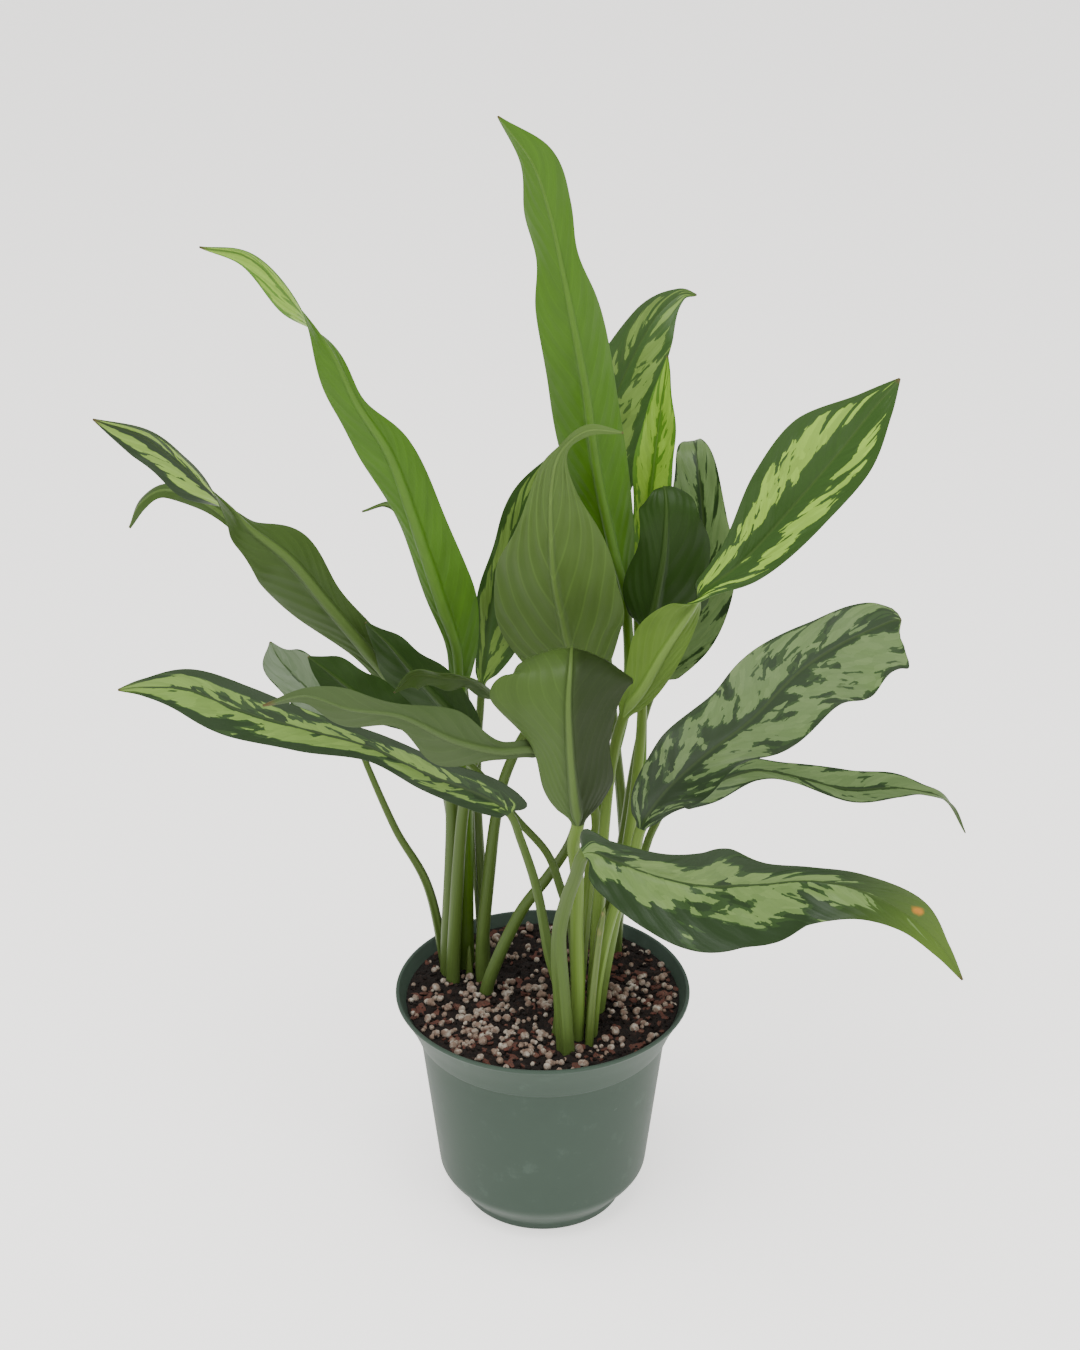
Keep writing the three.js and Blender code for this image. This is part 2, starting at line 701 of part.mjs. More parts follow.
/** The pot's outer and inner wall from the foot up, as [radius, height] points. */
function potWalls() {
  const bandFoot = POT.height - POT.bandHeight;
  const outer = [
    [POT.footRadius, 1],
    [POT.footRadius + 0.8, POT.footHeight],
    [POT.bodyFootRadius - 2.4, POT.bodyFootHeight - 4],
    [POT.bodyFootRadius, POT.bodyFootHeight],
    [POT.bandFootRadius, bandFoot],
    [POT.bandFootRadius + 1.6, bandFoot + 1.2],
    [POT.bandFootRadius + 5.2, bandFoot + 10],
    [POT.rimRadius - 1.2, POT.height - 2.6],
    [POT.rimRadius, POT.height - 1.2],
    [POT.rimRadius - 0.4, POT.height],
  ];
  const inner = [
    [POT.footRadius - POT.wall, POT.footHeight + 1],
    [POT.bodyFootRadius - 2.6 - POT.wall, POT.bodyFootHeight - 3.2],
    [POT.bodyFootRadius - POT.wall, POT.bodyFootHeight + 0.6],
    [POT.bandFootRadius - POT.wall, bandFoot + 0.6],
    [POT.bandFootRadius + 4.2 - POT.wall, bandFoot + 11],
    [POT.rimRadius - 1.2 - POT.wall, POT.height - 1.4],
    [POT.rimRadius - 0.4 - POT.wall, POT.height],
  ];
  return { outer, inner };
}

/** A turned shell on a foot ring and a centre pad, with drain holes in its raised floor. */
function makePot() {
  const { outer, inner } = potWalls();
  const profile = [
    [0, 0],
    [PLINTH.padRadius, 0],
    [PLINTH.padRadius + PLINTH.chamfer, PLINTH.recess],
    [PLINTH.innerRadius - PLINTH.chamfer, PLINTH.recess],
    [PLINTH.innerRadius, 0],
    [POT.footRadius - 0.8, 0],
    ...outer,
    ...inner.slice().reverse(),
    [POT.footRadius - POT.wall - 1, POT.floorHeight],
    [0, POT.floorHeight],
  ];
  let pot = toSolid(turned(profile, POT.sides));
  for (let i = 0; i < DRAIN.count; i += 1) {
    const angle = 2 * Math.PI * (i + 0.5) / DRAIN.count;
    const cutter = new THREE.CylinderGeometry(DRAIN.radius, DRAIN.radius, 3 * POT.floorHeight, 12);
    cutter.rotateX(Math.PI / 2);
    cutter.translate(DRAIN.circle * Math.cos(angle), DRAIN.circle * Math.sin(angle), POT.floorHeight);
    pot = pot.subtract(toSolid(cutter));
  }
  return toGeometry(pot);
}

// ---------------------------------------------------------------- potting mix

/** The mix's side: the pot's inner wall, a gap inside it, up to the soil level. */
function soilSide() {
  const { inner } = potWalls();
  const below = inner.filter(([, height]) => height < SOIL.level);
  const side = below.map(([radius, height]) => [radius - SOIL.gap, height]);
  const [lowRadius, lowHeight] = inner[4];
  const [highRadius, highHeight] = inner[5];
  const edge = SOIL.level - 0.8;
  const part = (edge - lowHeight) / (highHeight - lowHeight);
  side.push([lowRadius + (highRadius - lowRadius) * part - SOIL.gap, edge]);
  return side;
}

/** The mix with an uneven top: rings of corners from the floor up and in to the centre. */
function soilBody(random) {
  const side = soilSide();
  const [, top] = side[side.length - 1];
  const edge = side[side.length - 1][0];
  const rings = side.map(([radius, height]) => ({ radius, height, rough: 0 }));
  for (let i = 1; i < SOIL.rings; i += 1) {
    rings.push({ radius: edge * (1 - i / SOIL.rings), height: top + 0.5, rough: SOIL.roughness });
  }
  const foot = POT.floorHeight + SOIL.gap;
  rings.unshift({ radius: POT.footRadius - POT.wall - 1.6, height: foot, rough: 0 });
  const positions = [0, 0, foot];
  for (const ring of rings) {
    for (let k = 0; k < POT.sides; k += 1) {
      const angle = 2 * Math.PI * k / POT.sides;
      const height = ring.height + ring.rough * (random() - 0.5);
      positions.push(ring.radius * Math.cos(angle), ring.radius * Math.sin(angle), height);
    }
  }
  positions.push(0, 0, top + 0.5);
  const last = 1 + rings.length * POT.sides;
  const corners = [];
  for (let k = 0; k < POT.sides; k += 1) {
    const next = (k + 1) % POT.sides;
    corners.push(0, 1 + next, 1 + k);
    for (let i = 0; i + 1 < rings.length; i += 1) {
      const a = 1 + i * POT.sides;
      const b = a + POT.sides;
      corners.push(a + k, a + next, b + next, a + k, b + next, b + k);
    }
    corners.push(last - POT.sides + k, last - POT.sides + next, last);
  }
  const geometry = new THREE.BufferGeometry();
  geometry.setAttribute("position", new THREE.Float32BufferAttribute(positions, 3));
  geometry.setIndex(corners);
  return toSolid(geometry);
}

/** One perlite grain or bark chip, half sunk in the top of the mix. */
function lump(random, kind) {
  const radius = kind.small + (kind.large - kind.small) * random();
  const geometry = new THREE.IcosahedronGeometry(radius, 0);
  geometry.scale(1, 0.75 + 0.25 * random(), kind.flat);
  geometry.rotateX(0.5 * (random() - 0.5));
  geometry.rotateZ(2 * Math.PI * random());
  const reach = (POT.rimRadius - 16) * Math.sqrt(random());
  const angle = 2 * Math.PI * random();
  const height = SOIL.level - 0.2 * radius * random();
  geometry.translate(reach * Math.cos(angle), reach * Math.sin(angle), height);
  return toSolid(geometry);
}

/** The potting mix: body and lumps in one piece, with a hole for each stalk. */
function makeSoil(stalks) {
  const random = seededRandom(SOIL.seed);
  let soil = soilBody(random);
  for (const kind of LUMPS) {
    for (let i = 0; i < kind.count; i += 1) soil = soil.add(lump(random, kind));
  }
  for (const stalk of stalks) soil = soil.subtract(stalkHole(stalk));
  const pieces = soil.decompose().sort((a, b) => b.volume() - a.volume());
  return toGeometry(pieces[0]);
}

// ---------------------------------------------------------------- the plant

const group = new THREE.Group();

function addPiece(name, geometry, colour) {
  const mesh = new THREE.Mesh(geometry, new THREE.MeshStandardMaterial(colour));
  mesh.name = name;
  group.add(mesh);
}

const YOUNG = ["leaf_crown", "leaf_left_tall", "leaf_young_rolled"];

addPiece("pot", makePot(), COLOURS.pot);
addPiece("potting_mix", makeSoil([...Object.values(LEAVES), ...Object.values(SHEATHS)]), COLOURS.soil);
for (const [name, leaf] of Object.entries(LEAVES)) {
  addPiece(name, leafGeometry(leaf), YOUNG.includes(name) ? COLOURS.youngLeaf : COLOURS.leaf);
}
for (const [name, sheath] of Object.entries(SHEATHS)) {
  addPiece(name, leafGeometry(sheath), COLOURS.sheath);
}

export default group;
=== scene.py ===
"""A potted Chinese evergreen (Aglaonema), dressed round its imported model.

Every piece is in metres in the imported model's frame: the origin is the middle of the pot's
base, +Z is up and -Y is the front. The tables of leaves and sheaths hold the same values as
the model's own source, and the pot and the mix follow its sizes, in millimetres. So each
piece grows out of the numbers that its solid was made from, with a finer mesh and a real
finish.
"""
import json
import math
from functools import partial

import bmesh
import bpy
import numpy as np
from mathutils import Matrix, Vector

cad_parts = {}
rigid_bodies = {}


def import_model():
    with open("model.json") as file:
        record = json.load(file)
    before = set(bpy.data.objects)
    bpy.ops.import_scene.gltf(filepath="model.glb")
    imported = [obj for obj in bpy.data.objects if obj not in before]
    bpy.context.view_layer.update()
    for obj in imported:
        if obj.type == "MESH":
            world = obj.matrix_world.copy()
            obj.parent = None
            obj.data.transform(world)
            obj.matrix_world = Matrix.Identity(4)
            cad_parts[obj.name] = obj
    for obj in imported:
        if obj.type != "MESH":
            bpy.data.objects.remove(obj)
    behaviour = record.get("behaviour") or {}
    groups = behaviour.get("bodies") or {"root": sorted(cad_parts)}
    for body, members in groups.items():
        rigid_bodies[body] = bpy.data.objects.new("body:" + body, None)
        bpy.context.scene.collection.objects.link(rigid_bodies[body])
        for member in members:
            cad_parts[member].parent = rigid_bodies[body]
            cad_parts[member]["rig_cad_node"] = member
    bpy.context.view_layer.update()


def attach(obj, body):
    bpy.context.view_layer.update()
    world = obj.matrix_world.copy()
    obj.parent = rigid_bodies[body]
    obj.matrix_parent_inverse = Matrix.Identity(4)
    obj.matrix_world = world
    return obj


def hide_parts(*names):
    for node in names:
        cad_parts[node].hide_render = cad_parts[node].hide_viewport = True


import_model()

bl_info = {
    "name": "Potted Chinese Evergreen",
    "version": (1, 0, 0),
    "blender": (4, 5, 0),
    "location": "View3D > Sidebar > Evergreen",
    "description": "Builds a potted Chinese evergreen: pot, potting mix, leaves and stage",
    "category": "Object",
}

MM = 0.001
BODY = "root"
LEAST_LENGTH = 1e-9

# ------------------------------------------------------------------ sizes of the pieces

# The pot's wall from the middle of its underside, out and up, over the rim and back down
# to the middle of its floor: radius and height in mm, and how far the corner is rounded.
POT_WALL = [
    (0, 0, 0), (11, 0, 0.4), (12.5, 2, 0.4), (33.5, 2, 0.4), (35, 0, 0.4), (42.2, 0, 0.5),
    (43, 1, 0.6), (43.8, 5, 1.2), (53.1, 16, 2.5), (55.5, 20, 3), (65, 102, 0.7),
    (66.6, 103.2, 0.7), (70.2, 112, 4), (76.3, 123.4, 1.2), (77.5, 124.8, 0.6),
    (77.1, 126, 0.4), (75.6, 126, 0.4), (74.8, 124.6, 0.6), (67.7, 113, 4),
    (63.5, 102.6, 1), (54, 20.6, 3), (51.4, 16.8, 2.5), (41.5, 6, 1.2), (40.5, 3.8, 0.6),
    (0, 3.8, 0),
]
POT_SIDES = 144
POT_STEP = 6
DRAIN_HOLES = {"count": 8, "radius": 4, "circle": 24}
DRILL = {"low": -3, "high": 8, "sides": 24}

# The mix fills the pot up to a little under the rim, a hair inside the wall.
MIX_SIDE = [(39.9, 4.1), (41.2, 6), (51.1, 16.8), (53.7, 20.6), (63.2, 102.6), (67.4, 113),
            (71.8, 120.2)]
MIX_LEVEL = 120.7
MIX_SIDES = 144
MIX_RINGS = 46
FOOT_STEPS = 200

# Its top: lengths and heights of its lumps, over how many mm from the wall they grow, and
# how much higher it stands away from the wall.
LUMP_LENGTHS = (26, 11, 5.2)
LUMP_HEIGHTS = (0.8, 0.75, 0.45)
LUMP_SEED = 5
LUMP_RUN_IN = 6
MIX_CROWN = 0.6

# Grains on the mix: how far inside its edge their middles and their sides stay.
GRAIN_MIDDLE_GAP = 1.2
GRAIN_SIDE_GAP = 0.6

# The front looks down on the plant by this angle, and a blade at turn 0 faces it.
FRONT_TILT = math.radians(27)
FRONT = np.array([0, -math.cos(FRONT_TILT), math.sin(FRONT_TILT)])

# The camera. Its place was fitted to the pot's rim and foot in a picture 1350 px tall, of
# which one pixel is about 0.5 mm at the plant.
PICTURE_HEIGHT_PX = 1350
PICTURE_MIDDLE_PX = (540, 675)
FOCAL_PX = 2800
SENSOR_MM = 36
CAMERA_MM = (-1.44, -1238.3, 941.1)
CAMERA_UP = np.array([0, math.sin(FRONT_TILT), math.cos(FRONT_TILT)])
CAMERA_REACH_M = (0.01, 50)

# Each soft light: its middle, the point it is turned towards and its width, in metres.
KEY_LIGHT = ((-0.25, -0.6, 2.0), (0, 0, 0.25), 1.6)
FILL_LIGHT = ((1.5, -1.6, 1.2), (0, 0, 0.3), 1.4)
SURROUND = "#FBFAF8"

# Side veins: mm between them on most leaves and on the widest one, how far they climb
# towards the tip on their way to the rim, in times the blade's widest half, and by how many
# mm they move on from leaf to leaf, so that no two leaves match.
VEIN_PITCH = 13.0
WIDE_PITCH = 24.0
VEIN_CLIMB = 1.9
SEED_SHIFT = 137.0


def seen(across, down, depth):
    """The point in mm, to the nearest mm, that the camera sees so many pixels across and
    down the picture, at this depth y in mm. The depths are judged."""
    sight = np.array([(across - PICTURE_MIDDLE_PX[0]) / FOCAL_PX, 0, 0]) - FRONT
    sight = sight + CAMERA_UP * (PICTURE_MIDDLE_PX[1] - down) / FOCAL_PX
    point = CAMERA_MM + sight * (depth - CAMERA_MM[1]) / sight[1]
    return [round(float(value)) for value in point]


# Each leaf: its stalk's points, the stalk's foot and top radius, then the blade's rows of
# x, y, z, left width, right width and turn. A turn of 0 shows its upper face to the front
# and 180 its underside. A place is given in mm, or as pixels and depth that seen turns into
# mm. "fold" and "curl" lift both halves, "wave" is the height, count and start of the edge
# ripple, and "lobe" draws the foot of each half back past the stalk. "look" names the
# finishes of the upper face, the underside and the stalk. On some leaves "vein_climb" and
# "vein_pitch" take the place of VEIN_CLIMB and VEIN_PITCH, and "relief" is how many times
# the usual height the side veins stand out.
LEAVES = {
  "leaf_crown": {
    "stalk": [
      [27, -3, 104], [28, -4, 140], seen(595, 850, -2), seen(608, 780, 8), seen(628, 690, 20),
    ],
    "radius": [3.4, 2.6],
    "blade": [
      [*seen(626, 600, 22), 4, 4, 180],
      [*seen(612, 545, 20), 13, 7, 180],
      [*seen(597, 470, 16), 19, 16, 180],
      [*seen(585, 386, 10), 16, 19, 180],
      [*seen(572, 312, 2), 14, 20, 182],
      [*seen(561, 260, -2), 11, 12, 183],
      [*seen(550, 213, -7), 11, 13, 184],
      [*seen(532, 163, -15), 10, 7, 186],
      [*seen(497, 117, -26), 0.5, 0.5, 188],
    ],
    "fold": 18, "curl": 20, "wave": [2.5, 2.6, 0.1], "lobe": [0, 0],
    "look": ["young", "young", "young"],
  },
  "leaf_left_tall": {
    "stalk": [
      [-40, 28, 104], [-41, 28, 140], seen(465, 800, 22), seen(462, 730, 14),
    ],
    "radius": [4.3, 3.6],
    "blade": [
      [*seen(460, 690, 8), 5, 5, 180],
      [*seen(456, 648, 3), 12, 6, 180],
      [*seen(441, 600, -3), 19, 8, 180],
      [*seen(415, 525, -14), 15, 8, 178],
      [*seen(389, 455, -24), 11, 16, 172],
      [*seen(357, 402, -34), 5, 11, 158],
      [*seen(328, 350, -42), 8, 8, 110],
      [*seen(292, 301, -48), 8, 8, 40],
      [*seen(250, 258, -50), 6, 6, 20],
      [*seen(200, 246, -50), 0.5, 0.5, 20],
    ],
    "fold": 16, "curl": 16, "wave": [1.6, 3, 0], "lobe": [0, 0],
    "look": ["young", "young", "young"],
  },
  "leaf_left_upper": {
    "stalk": [
      [-51, 22, 104], [-50, 22, 140], seen(452, 800, 16), seen(425, 725, 6),
    ],
    "radius": [4.1, 3.2],
    "blade": [
      [*seen(398, 692, -2), 5, 5, 180],
      [*seen(365, 650, -8), 11, 8, 180],
      [*seen(327, 602, -15), 11, 17, 180],
      [*seen(290, 560, -22), 14, 20, 172],
      [*seen(252, 530, -28), 7, 12, 140],
      [*seen(229, 508, -32), 8, 9, 84],
      [*seen(203, 484, -35), 10, 10, 52],
      [*seen(175, 459, -37), 12, 12, 40],
      [*seen(141, 437, -40), 11, 10, 30],
      [*seen(93, 418, -44), 0.5, 0.5, 30],
    ],
    "fold": 16, "curl": 16, "wave": [2.4, 3, 0.2], "lobe": [0, 0],
    "look": ["bold", "plain", "plain"],
  },
  "leaf_left_hook": {
    "stalk": [
      [-44, 38, 104], [-45, 40, 140], seen(448, 800, 46), seen(420, 725, 42),
    ],
    "radius": [3, 2],
    "blade": [
      [*seen(385, 670, 36), 3, 3, 180],
      [*seen(345, 625, 38), 5, 5, 180],
      [*seen(300, 583, 40), 5, 5, 180],
      [*seen(250, 537, 42), 4, 4, 180],
      [*seen(205, 503, 44), 4, 4, 170],
      [*seen(165, 491, 46), 4, 4, 160],
      [*seen(140, 503, 48), 4, 4, 150],
      [*seen(130, 528, 50), 1, 1, 150],
    ],
    "fold": 14, "curl": 14, "wave": [1.2, 3, 0], "lobe": [0, 0],
    "look": ["bold", "plain", "plain"],
  },
  "leaf_left_low": {
    "stalk": [
      [6, -36, 104], seen(560, 1000, -36), seen(549, 952, -36), seen(537, 890, -38),
      seen(520, 840, -40),
    ],
    "radius": [3.2, 2],
    "blade": [
      [*seen(508, 813, -44), 4, 7, 0],
      [*seen(480, 794, -48), 8, 12, 0],
      [*seen(430, 775, -55), 9, 10, 0],
      [*seen(370, 747, -62), 6, 9, 0],
      [*seen(300, 728, -67), 11, 11, 0],
      [*seen(240, 711, -70), 14, 14, 0],
      [*seen(190, 690, -72), 11, 12, 0],
      [*seen(145, 687, -73), 5, 5, 0],
      [*seen(118, 690, -74), 0.5, 0.5, 0],
    ],
    "fold": 10, "curl": 12, "wave": [1.2, 3, 0], "lobe": [4, 14],
    "look": ["streaked", "plain", "plain"],
  },
  "leaf_left_front": {
    "stalk": [
      [-31, 2, 104], [-28, 0, 130], seen(520, 915, -2), seen(549, 876, -8), seen(573, 836, -18),
      seen(577, 795, -34),
    ],
    "radius": [3.2, 2],
    "blade": [
      [*seen(545, 752, -45), 5, 5, 180],
      [*seen(500, 752, -55), 5, 5, 180],
      [*seen(453, 740, -66), 14, 14, 180],
      [*seen(400, 717, -76), 6, 6, 180],
      [*seen(350, 709, -84), 9, 9, 185],
      [*seen(305, 696, -88), 4, 4, 190],
      [*seen(263, 706, -88), 0.5, 0.5, 200],
    ],
    "fold": 8, "curl": 8, "wave": [1.2, 3, 0], "lobe": [0, 0],
    "look": ["bold", "browned", "plain"],
  },
  "leaf_left_pale": {
    "stalk": [
      [-50, 30, 104], seen(430, 890, 30), seen(396, 830, 32), seen(367, 766, 34),
    ],
    "radius": [2.8, 1.6],
    "blade": [
      [*seen(355, 735, 40), 4, 4, 0],
      [*seen(325, 705, 48), 11, 13, 0],
      [*seen(298, 680, 58), 13, 13, 0],
      [*seen(280, 660, 68), 9, 8, 0],
      [*seen(270, 641, 78), 0.5, 0.5, 0],
    ],
    "fold": 10, "curl": 10, "wave": [3, 1.5, 0], "lobe": [0, 0],
    "look": ["dusty", "plain", "plain"],
  },
  "leaf_left_pointed": {
    "stalk": [
      [15, -30, 104], [17, -28, 130], seen(573, 930, -24), seen(560, 889, -22),
      seen(546, 853, -24), seen(516, 818, -28), seen(475, 770, -30),
    ],
    "radius": [2.6, 1.6],
    "blade": [
      [*seen(430, 736, -32), 3, 3, 180],
      [*seen(395, 717, -36), 11, 6, 180],
      [*seen(360, 697, -40), 12, 10, 180],
      [*seen(330, 673, -43), 9, 8, 180],
      [*seen(308, 656, -45), 0.5, 0.5, 180],
    ],
    "fold": 10, "curl": 8, "wave": [1.2, 3, 0], "lobe": [0, 0],
    "look": ["green", "dark", "plain"],
  },
  "leaf_left_curl": {
    "stalk": [
      [17, -19, 104], [19, -18, 140], seen(592, 850, -12), seen(597, 826, -13),
      seen(588, 790, -15), seen(560, 750, -18), seen(530, 715, -20),
    ],
    "radius": [3, 2],
    "blade": [
      [*seen(498, 699, -26), 3, 3, 60],
      [*seen(470, 681, -28), 6, 6, 50],
      [*seen(442, 677, -32), 6, 6, 42],
      [*seen(415, 675, -36), 7, 7, 36],
      [*seen(394, 692, -40), 0.5, 0.5, 30],
    ],
    "fold": 10, "curl": 20, "wave": [1.2, 3, 0], "lobe": [0, 0],
    "look": ["green", "plain", "fresh"],
  },
  "leaf_left_inner": {
    "stalk": [
      [-48, 14, 104], [-47, 14, 140], seen(462, 830, 8), seen(470, 775, 0),
    ],
    "radius": [3.6, 2.8],
    "blade": [
      [*seen(475, 742, -6), 4, 4, 180],
      [*seen(445, 708, -10), 13, 14, 180],
      [*seen(415, 673, -14), 11, 15, 180],
      [*seen(390, 645, -16), 6, 9, 180],
      [*seen(366, 622, -18), 0.5, 0.5, 180],
    ],
    "fold": 8, "curl": 8, "wave": [1.2, 3, 0], "lobe": [0, 0],
    "look": ["bold", "dark", "plain"],
  },
  "leaf_centre": {
    "stalk": [
      [-31, 14, 104], [-32, 15, 140], seen(489, 873, 14), seen(496, 816, 12), seen(508, 770, 8),
      seen(532, 722, 8),
    ],
    "radius": [3.6, 2.4],
    "blade": [
      [*seen(574, 688, 14), 10, 20, 180],
      [*seen(566, 630, 8), 29, 36, 180],
      [*seen(556, 585, 2), 31, 31, 180],
      [*seen(551, 540, -6), 24, 20, 180],
      [*seen(552, 490, -16), 13, 9, 180],
      [*seen(561, 452, -26), 3, 3, 180],
      [*seen(586, 431, -34), 3, 3, 200],
      [*seen(624, 433, -36), 0.5, 0.5, 220],
    ],
    "fold": 6, "curl": 8, "wave": [1.6, 3, 0], "lobe": [0, 4],
    "vein_climb": 2.6, "vein_pitch": WIDE_PITCH, "relief": 2.2,
    "look": ["grey", "veined", "plain"],
  },
  "leaf_front_folded": {
    "stalk": [
      [17, -39, 104], seen(578, 1000, -41), seen(577, 930, -44), seen(578, 880, -48),
      seen(574, 845, -54),
    ],
    "radius": [3.4, 3.2],
    "blade": [
      [*seen(577, 822, -56), 6, 6, 180],
      [*seen(574, 795, -58), 20, 16, 180],
      [*seen(571, 750, -60), 21, 20, 180],
      [*seen(568, 705, -59), 26, 41, 180],
      [*seen(570, 668, -51), 33, 30, 180],
      [14, -32, 341, 30, 26, 180],
      [16, -15, 325, 18, 16, 180],
      [18, -6, 303, 0.5, 0.5, 180],
    ],
    "fold": 8, "curl": 26, "wave": [1.2, 3, 0], "lobe": [0, 0],
    "look": ["grey", "ribbed", "fresh"],
  },
  "leaf_dark_upright": {
    "stalk": [
      [27, -16, 104], [31, -14, 140], seen(628, 850, -6), seen(640, 740, 2), seen(644, 660, 8),
    ],
    "radius": [3.6, 2.2],
    "blade": [
      [*seen(650, 632, 10), 8, 8, 180],
      [*seen(657, 600, 10), 26, 18, 180],
      [*seen(664, 562, 9), 23, 14, 180],
      [*seen(667, 528, 9), 19, 14, 180],
      [*seen(667, 502, 12), 14, 12, 180],
      [*seen(664, 486, 20), 5, 5, 180],
      [*seen(662, 500, 30), 0.5, 0.5, 180],
    ],
    "fold": 8, "curl": 10, "wave": [1.8, 3, 0], "lobe": [0, 0],
    "look": ["bold", "dark", "fresh"],
  },
  "leaf_behind_centre": {
    "stalk": [
      [-31, 26, 104], [-31, 26, 140], seen(477, 800, 30), seen(478, 735, 28), seen(480, 712, 26),
    ],
    "radius": [2.8, 2],
    "blade": [
      [*seen(482, 684, 28), 3, 3, 0],
      [*seen(485, 652, 30), 5, 14, 0],
      [*seen(494, 600, 32), 8, 20, 0],
      [*seen(508, 550, 36), 9, 20, 0],
      [*seen(530, 495, 40), 9, 12, 0],
      [*seen(558, 450, 44), 0.5, 0.5, 0],
    ],
    "fold": 10, "curl": 12, "wave": [1.2, 3, 0], "lobe": [0, 0],
    "look": ["back", "plain", "plain"],
  },
  "leaf_back_upper": {
    "stalk": [
      [39, 40, 104], [40, 42, 140], seen(624, 850, 56), seen(614, 720, 56), seen(605, 640, 54),
    ],
    "radius": [3.4, 2],
    "blade": [
      [*seen(592, 580, 58), 5, 5, 0],
      [*seen(588, 520, 64), 13, 16, 0],
      [*seen(598, 450, 72), 16, 22, 0],
      [*seen(620, 385, 80), 18, 19, 0],
      [*seen(650, 325, 88), 12, 13, 0],
      [*seen(678, 296, 94), 4, 4, 0],
      [*seen(696, 295, 98), 0.5, 0.5, 0],
    ],
    "fold": 14, "curl": 12, "wave": [1.2, 3, 0], "lobe": [0, 0],
    "look": ["back", "plain", "plain"],
  },
  "leaf_young_rolled": {
    "stalk": [
      [29, 7, 104], [32, 9, 140], seen(636, 850, 18), seen(642, 720, 31), seen(638, 620, 34),
    ],
    "radius": [3.2, 2.2],
    "blade": [
      [*seen(642, 570, 36), 6, 6, 0],
      [*seen(649, 505, 41), 11, 11, 0],
      [*seen(656, 445, 46), 13, 12, 0],
      [*seen(664, 395, 50), 7, 6, 0],
      [*seen(668, 356, 54), 0.5, 0.5, 0],
    ],
    "fold": 25, "curl": 30, "wave": [1.2, 3, 0], "lobe": [0, 0],
    "look": ["young", "young", "young"],
  },
  "leaf_back_arched": {
    "stalk": [
      [31, 33, 104], [33, 34, 140], seen(620, 850, 38), seen(632, 770, 40), seen(645, 715, 42),
    ],
    "radius": [2.8, 1.8],
    "blade": [
      [*seen(660, 680, 44), 5, 6, 0],
      [*seen(690, 630, 48), 18, 15, 0],
      [82, 52, 343, 18, 16, 0],
      [81, 56, 370, 17, 13, 0],
      [79, 62, 389, 14, 10, 0],
      [77, 72, 401, 9, 7, 0],
      [77, 84, 401, 4, 3, 0],
      [77, 93, 391, 0.5, 0.5, 0],
    ],
    "fold": 6, "curl": 10, "wave": [1.2, 3, 0], "lobe": [0, 0],
    "look": ["round", "plain", "plain"],
  },
  "leaf_right_upper": {
    "stalk": [
      [24, -26, 104], [26, -26, 140], seen(602, 850, -24), seen(612, 765, -20),
    ],
    "radius": [3.2, 2.6],
    "blade": [
      [*seen(624, 716, -18), 5, 5, 180],
      [*seen(642, 688, -18), 8, 11, 180],
      [*seen(664, 652, -18), 10, 17, 180],
      [*seen(690, 612, -18), 8, 10, 140],
      [*seen(706, 590, -20), 6, 6, 60],
      [*seen(745, 560, -22), 14, 12, 10],
      [*seen(795, 505, -20), 26, 16, 0],
      [*seen(840, 450, -16), 27, 18, 0],
      [*seen(875, 405, -12), 10, 9, 0],
      [*seen(901, 379, -8), 0.5, 0.5, 0],
    ],
    "fold": 8, "curl": 8, "wave": [1.6, 3, 0], "lobe": [0, 0],
    "look": ["vivid", "fresh", "fresh"],
  },
  "leaf_right_wavy": {
    "stalk": [
      [24, -36, 104], seen(596, 990, -36), seen(607, 935, -35), seen(618, 895, -34),
      seen(632, 862, -33),
    ],
    "radius": [3.1, 2.8],
    "blade": [
      [*seen(641, 826, -34), 4, 4, 0],
      [*seen(666, 793, -40), 17, 12, 0],
      [*seen(705, 757, -49), 23, 16, 0],
      [*seen(750, 720, -59), 25, 19, 0],
      [*seen(797, 673, -69), 24, 27, 0],
      [*seen(838, 645, -77), 19, 26, 0],
      [*seen(873, 628, -82), 17, 25, 0],
      [*seen(892, 621, -84), 10, 19, 0],
      [*seen(902, 619, -85), 0.5, 0.5, 0],
    ],
    "fold": 6, "curl": 8, "wave": [3.5, 4.5, 0.1], "lobe": [0, 0], "vein_climb": 1.3,
    "look": ["grey", "plain", "fresh"],
  },
  "leaf_right_thin": {
    "stalk": [
      [30, 20, 104], [33, 22, 140], seen(640, 860, 38), seen(652, 830, 42),
    ],
    "radius": [3, 2],
    "blade": [
      [*seen(672, 800, 40), 8, 8, 0],
      [*seen(710, 785, 44), 12, 10, 0],
      [*seen(752, 771, 52), 8, 7, 20],
      [*seen(790, 775, 60), 6, 7, 30],
      [*seen(845, 789, 68), 11, 12, 30],
      [*seen(890, 789, 76), 10, 9, 30],
      [*seen(922, 792, 83), 4, 4, 40],
      [*seen(946, 802, 88), 4, 4, 50],
      [*seen(965, 833, 92), 0.5, 0.5, 60],
    ],
    "fold": 14, "curl": 14, "wave": [1.2, 3, 0], "lobe": [0, 0],
    "look": ["grey_broad", "plain", "plain"],
  },
  "leaf_right_low": {
    "stalk": [
      [13, -49, 104], seen(563, 1000, -52), seen(559, 940, -56), seen(566, 905, -63),
      seen(576, 875, -71),
    ],
    "radius": [4.3, 3.2],
    "blade": [
      [*seen(586, 853, -76), 13, 6, 0],
      [*seen(615, 862, -82), 11, 18, 0],
      [*seen(660, 878, -91), 14, 26, 0],
      [*seen(705, 886, -99), 19, 30, 0],
      [*seen(740, 885, -105), 20, 30, 0],
      [*seen(768, 883, -110), 12, 29, 0],
      [*seen(810, 881, -117), 8, 20, 0],
      [*seen(860, 890, -124), 9, 14, 0],
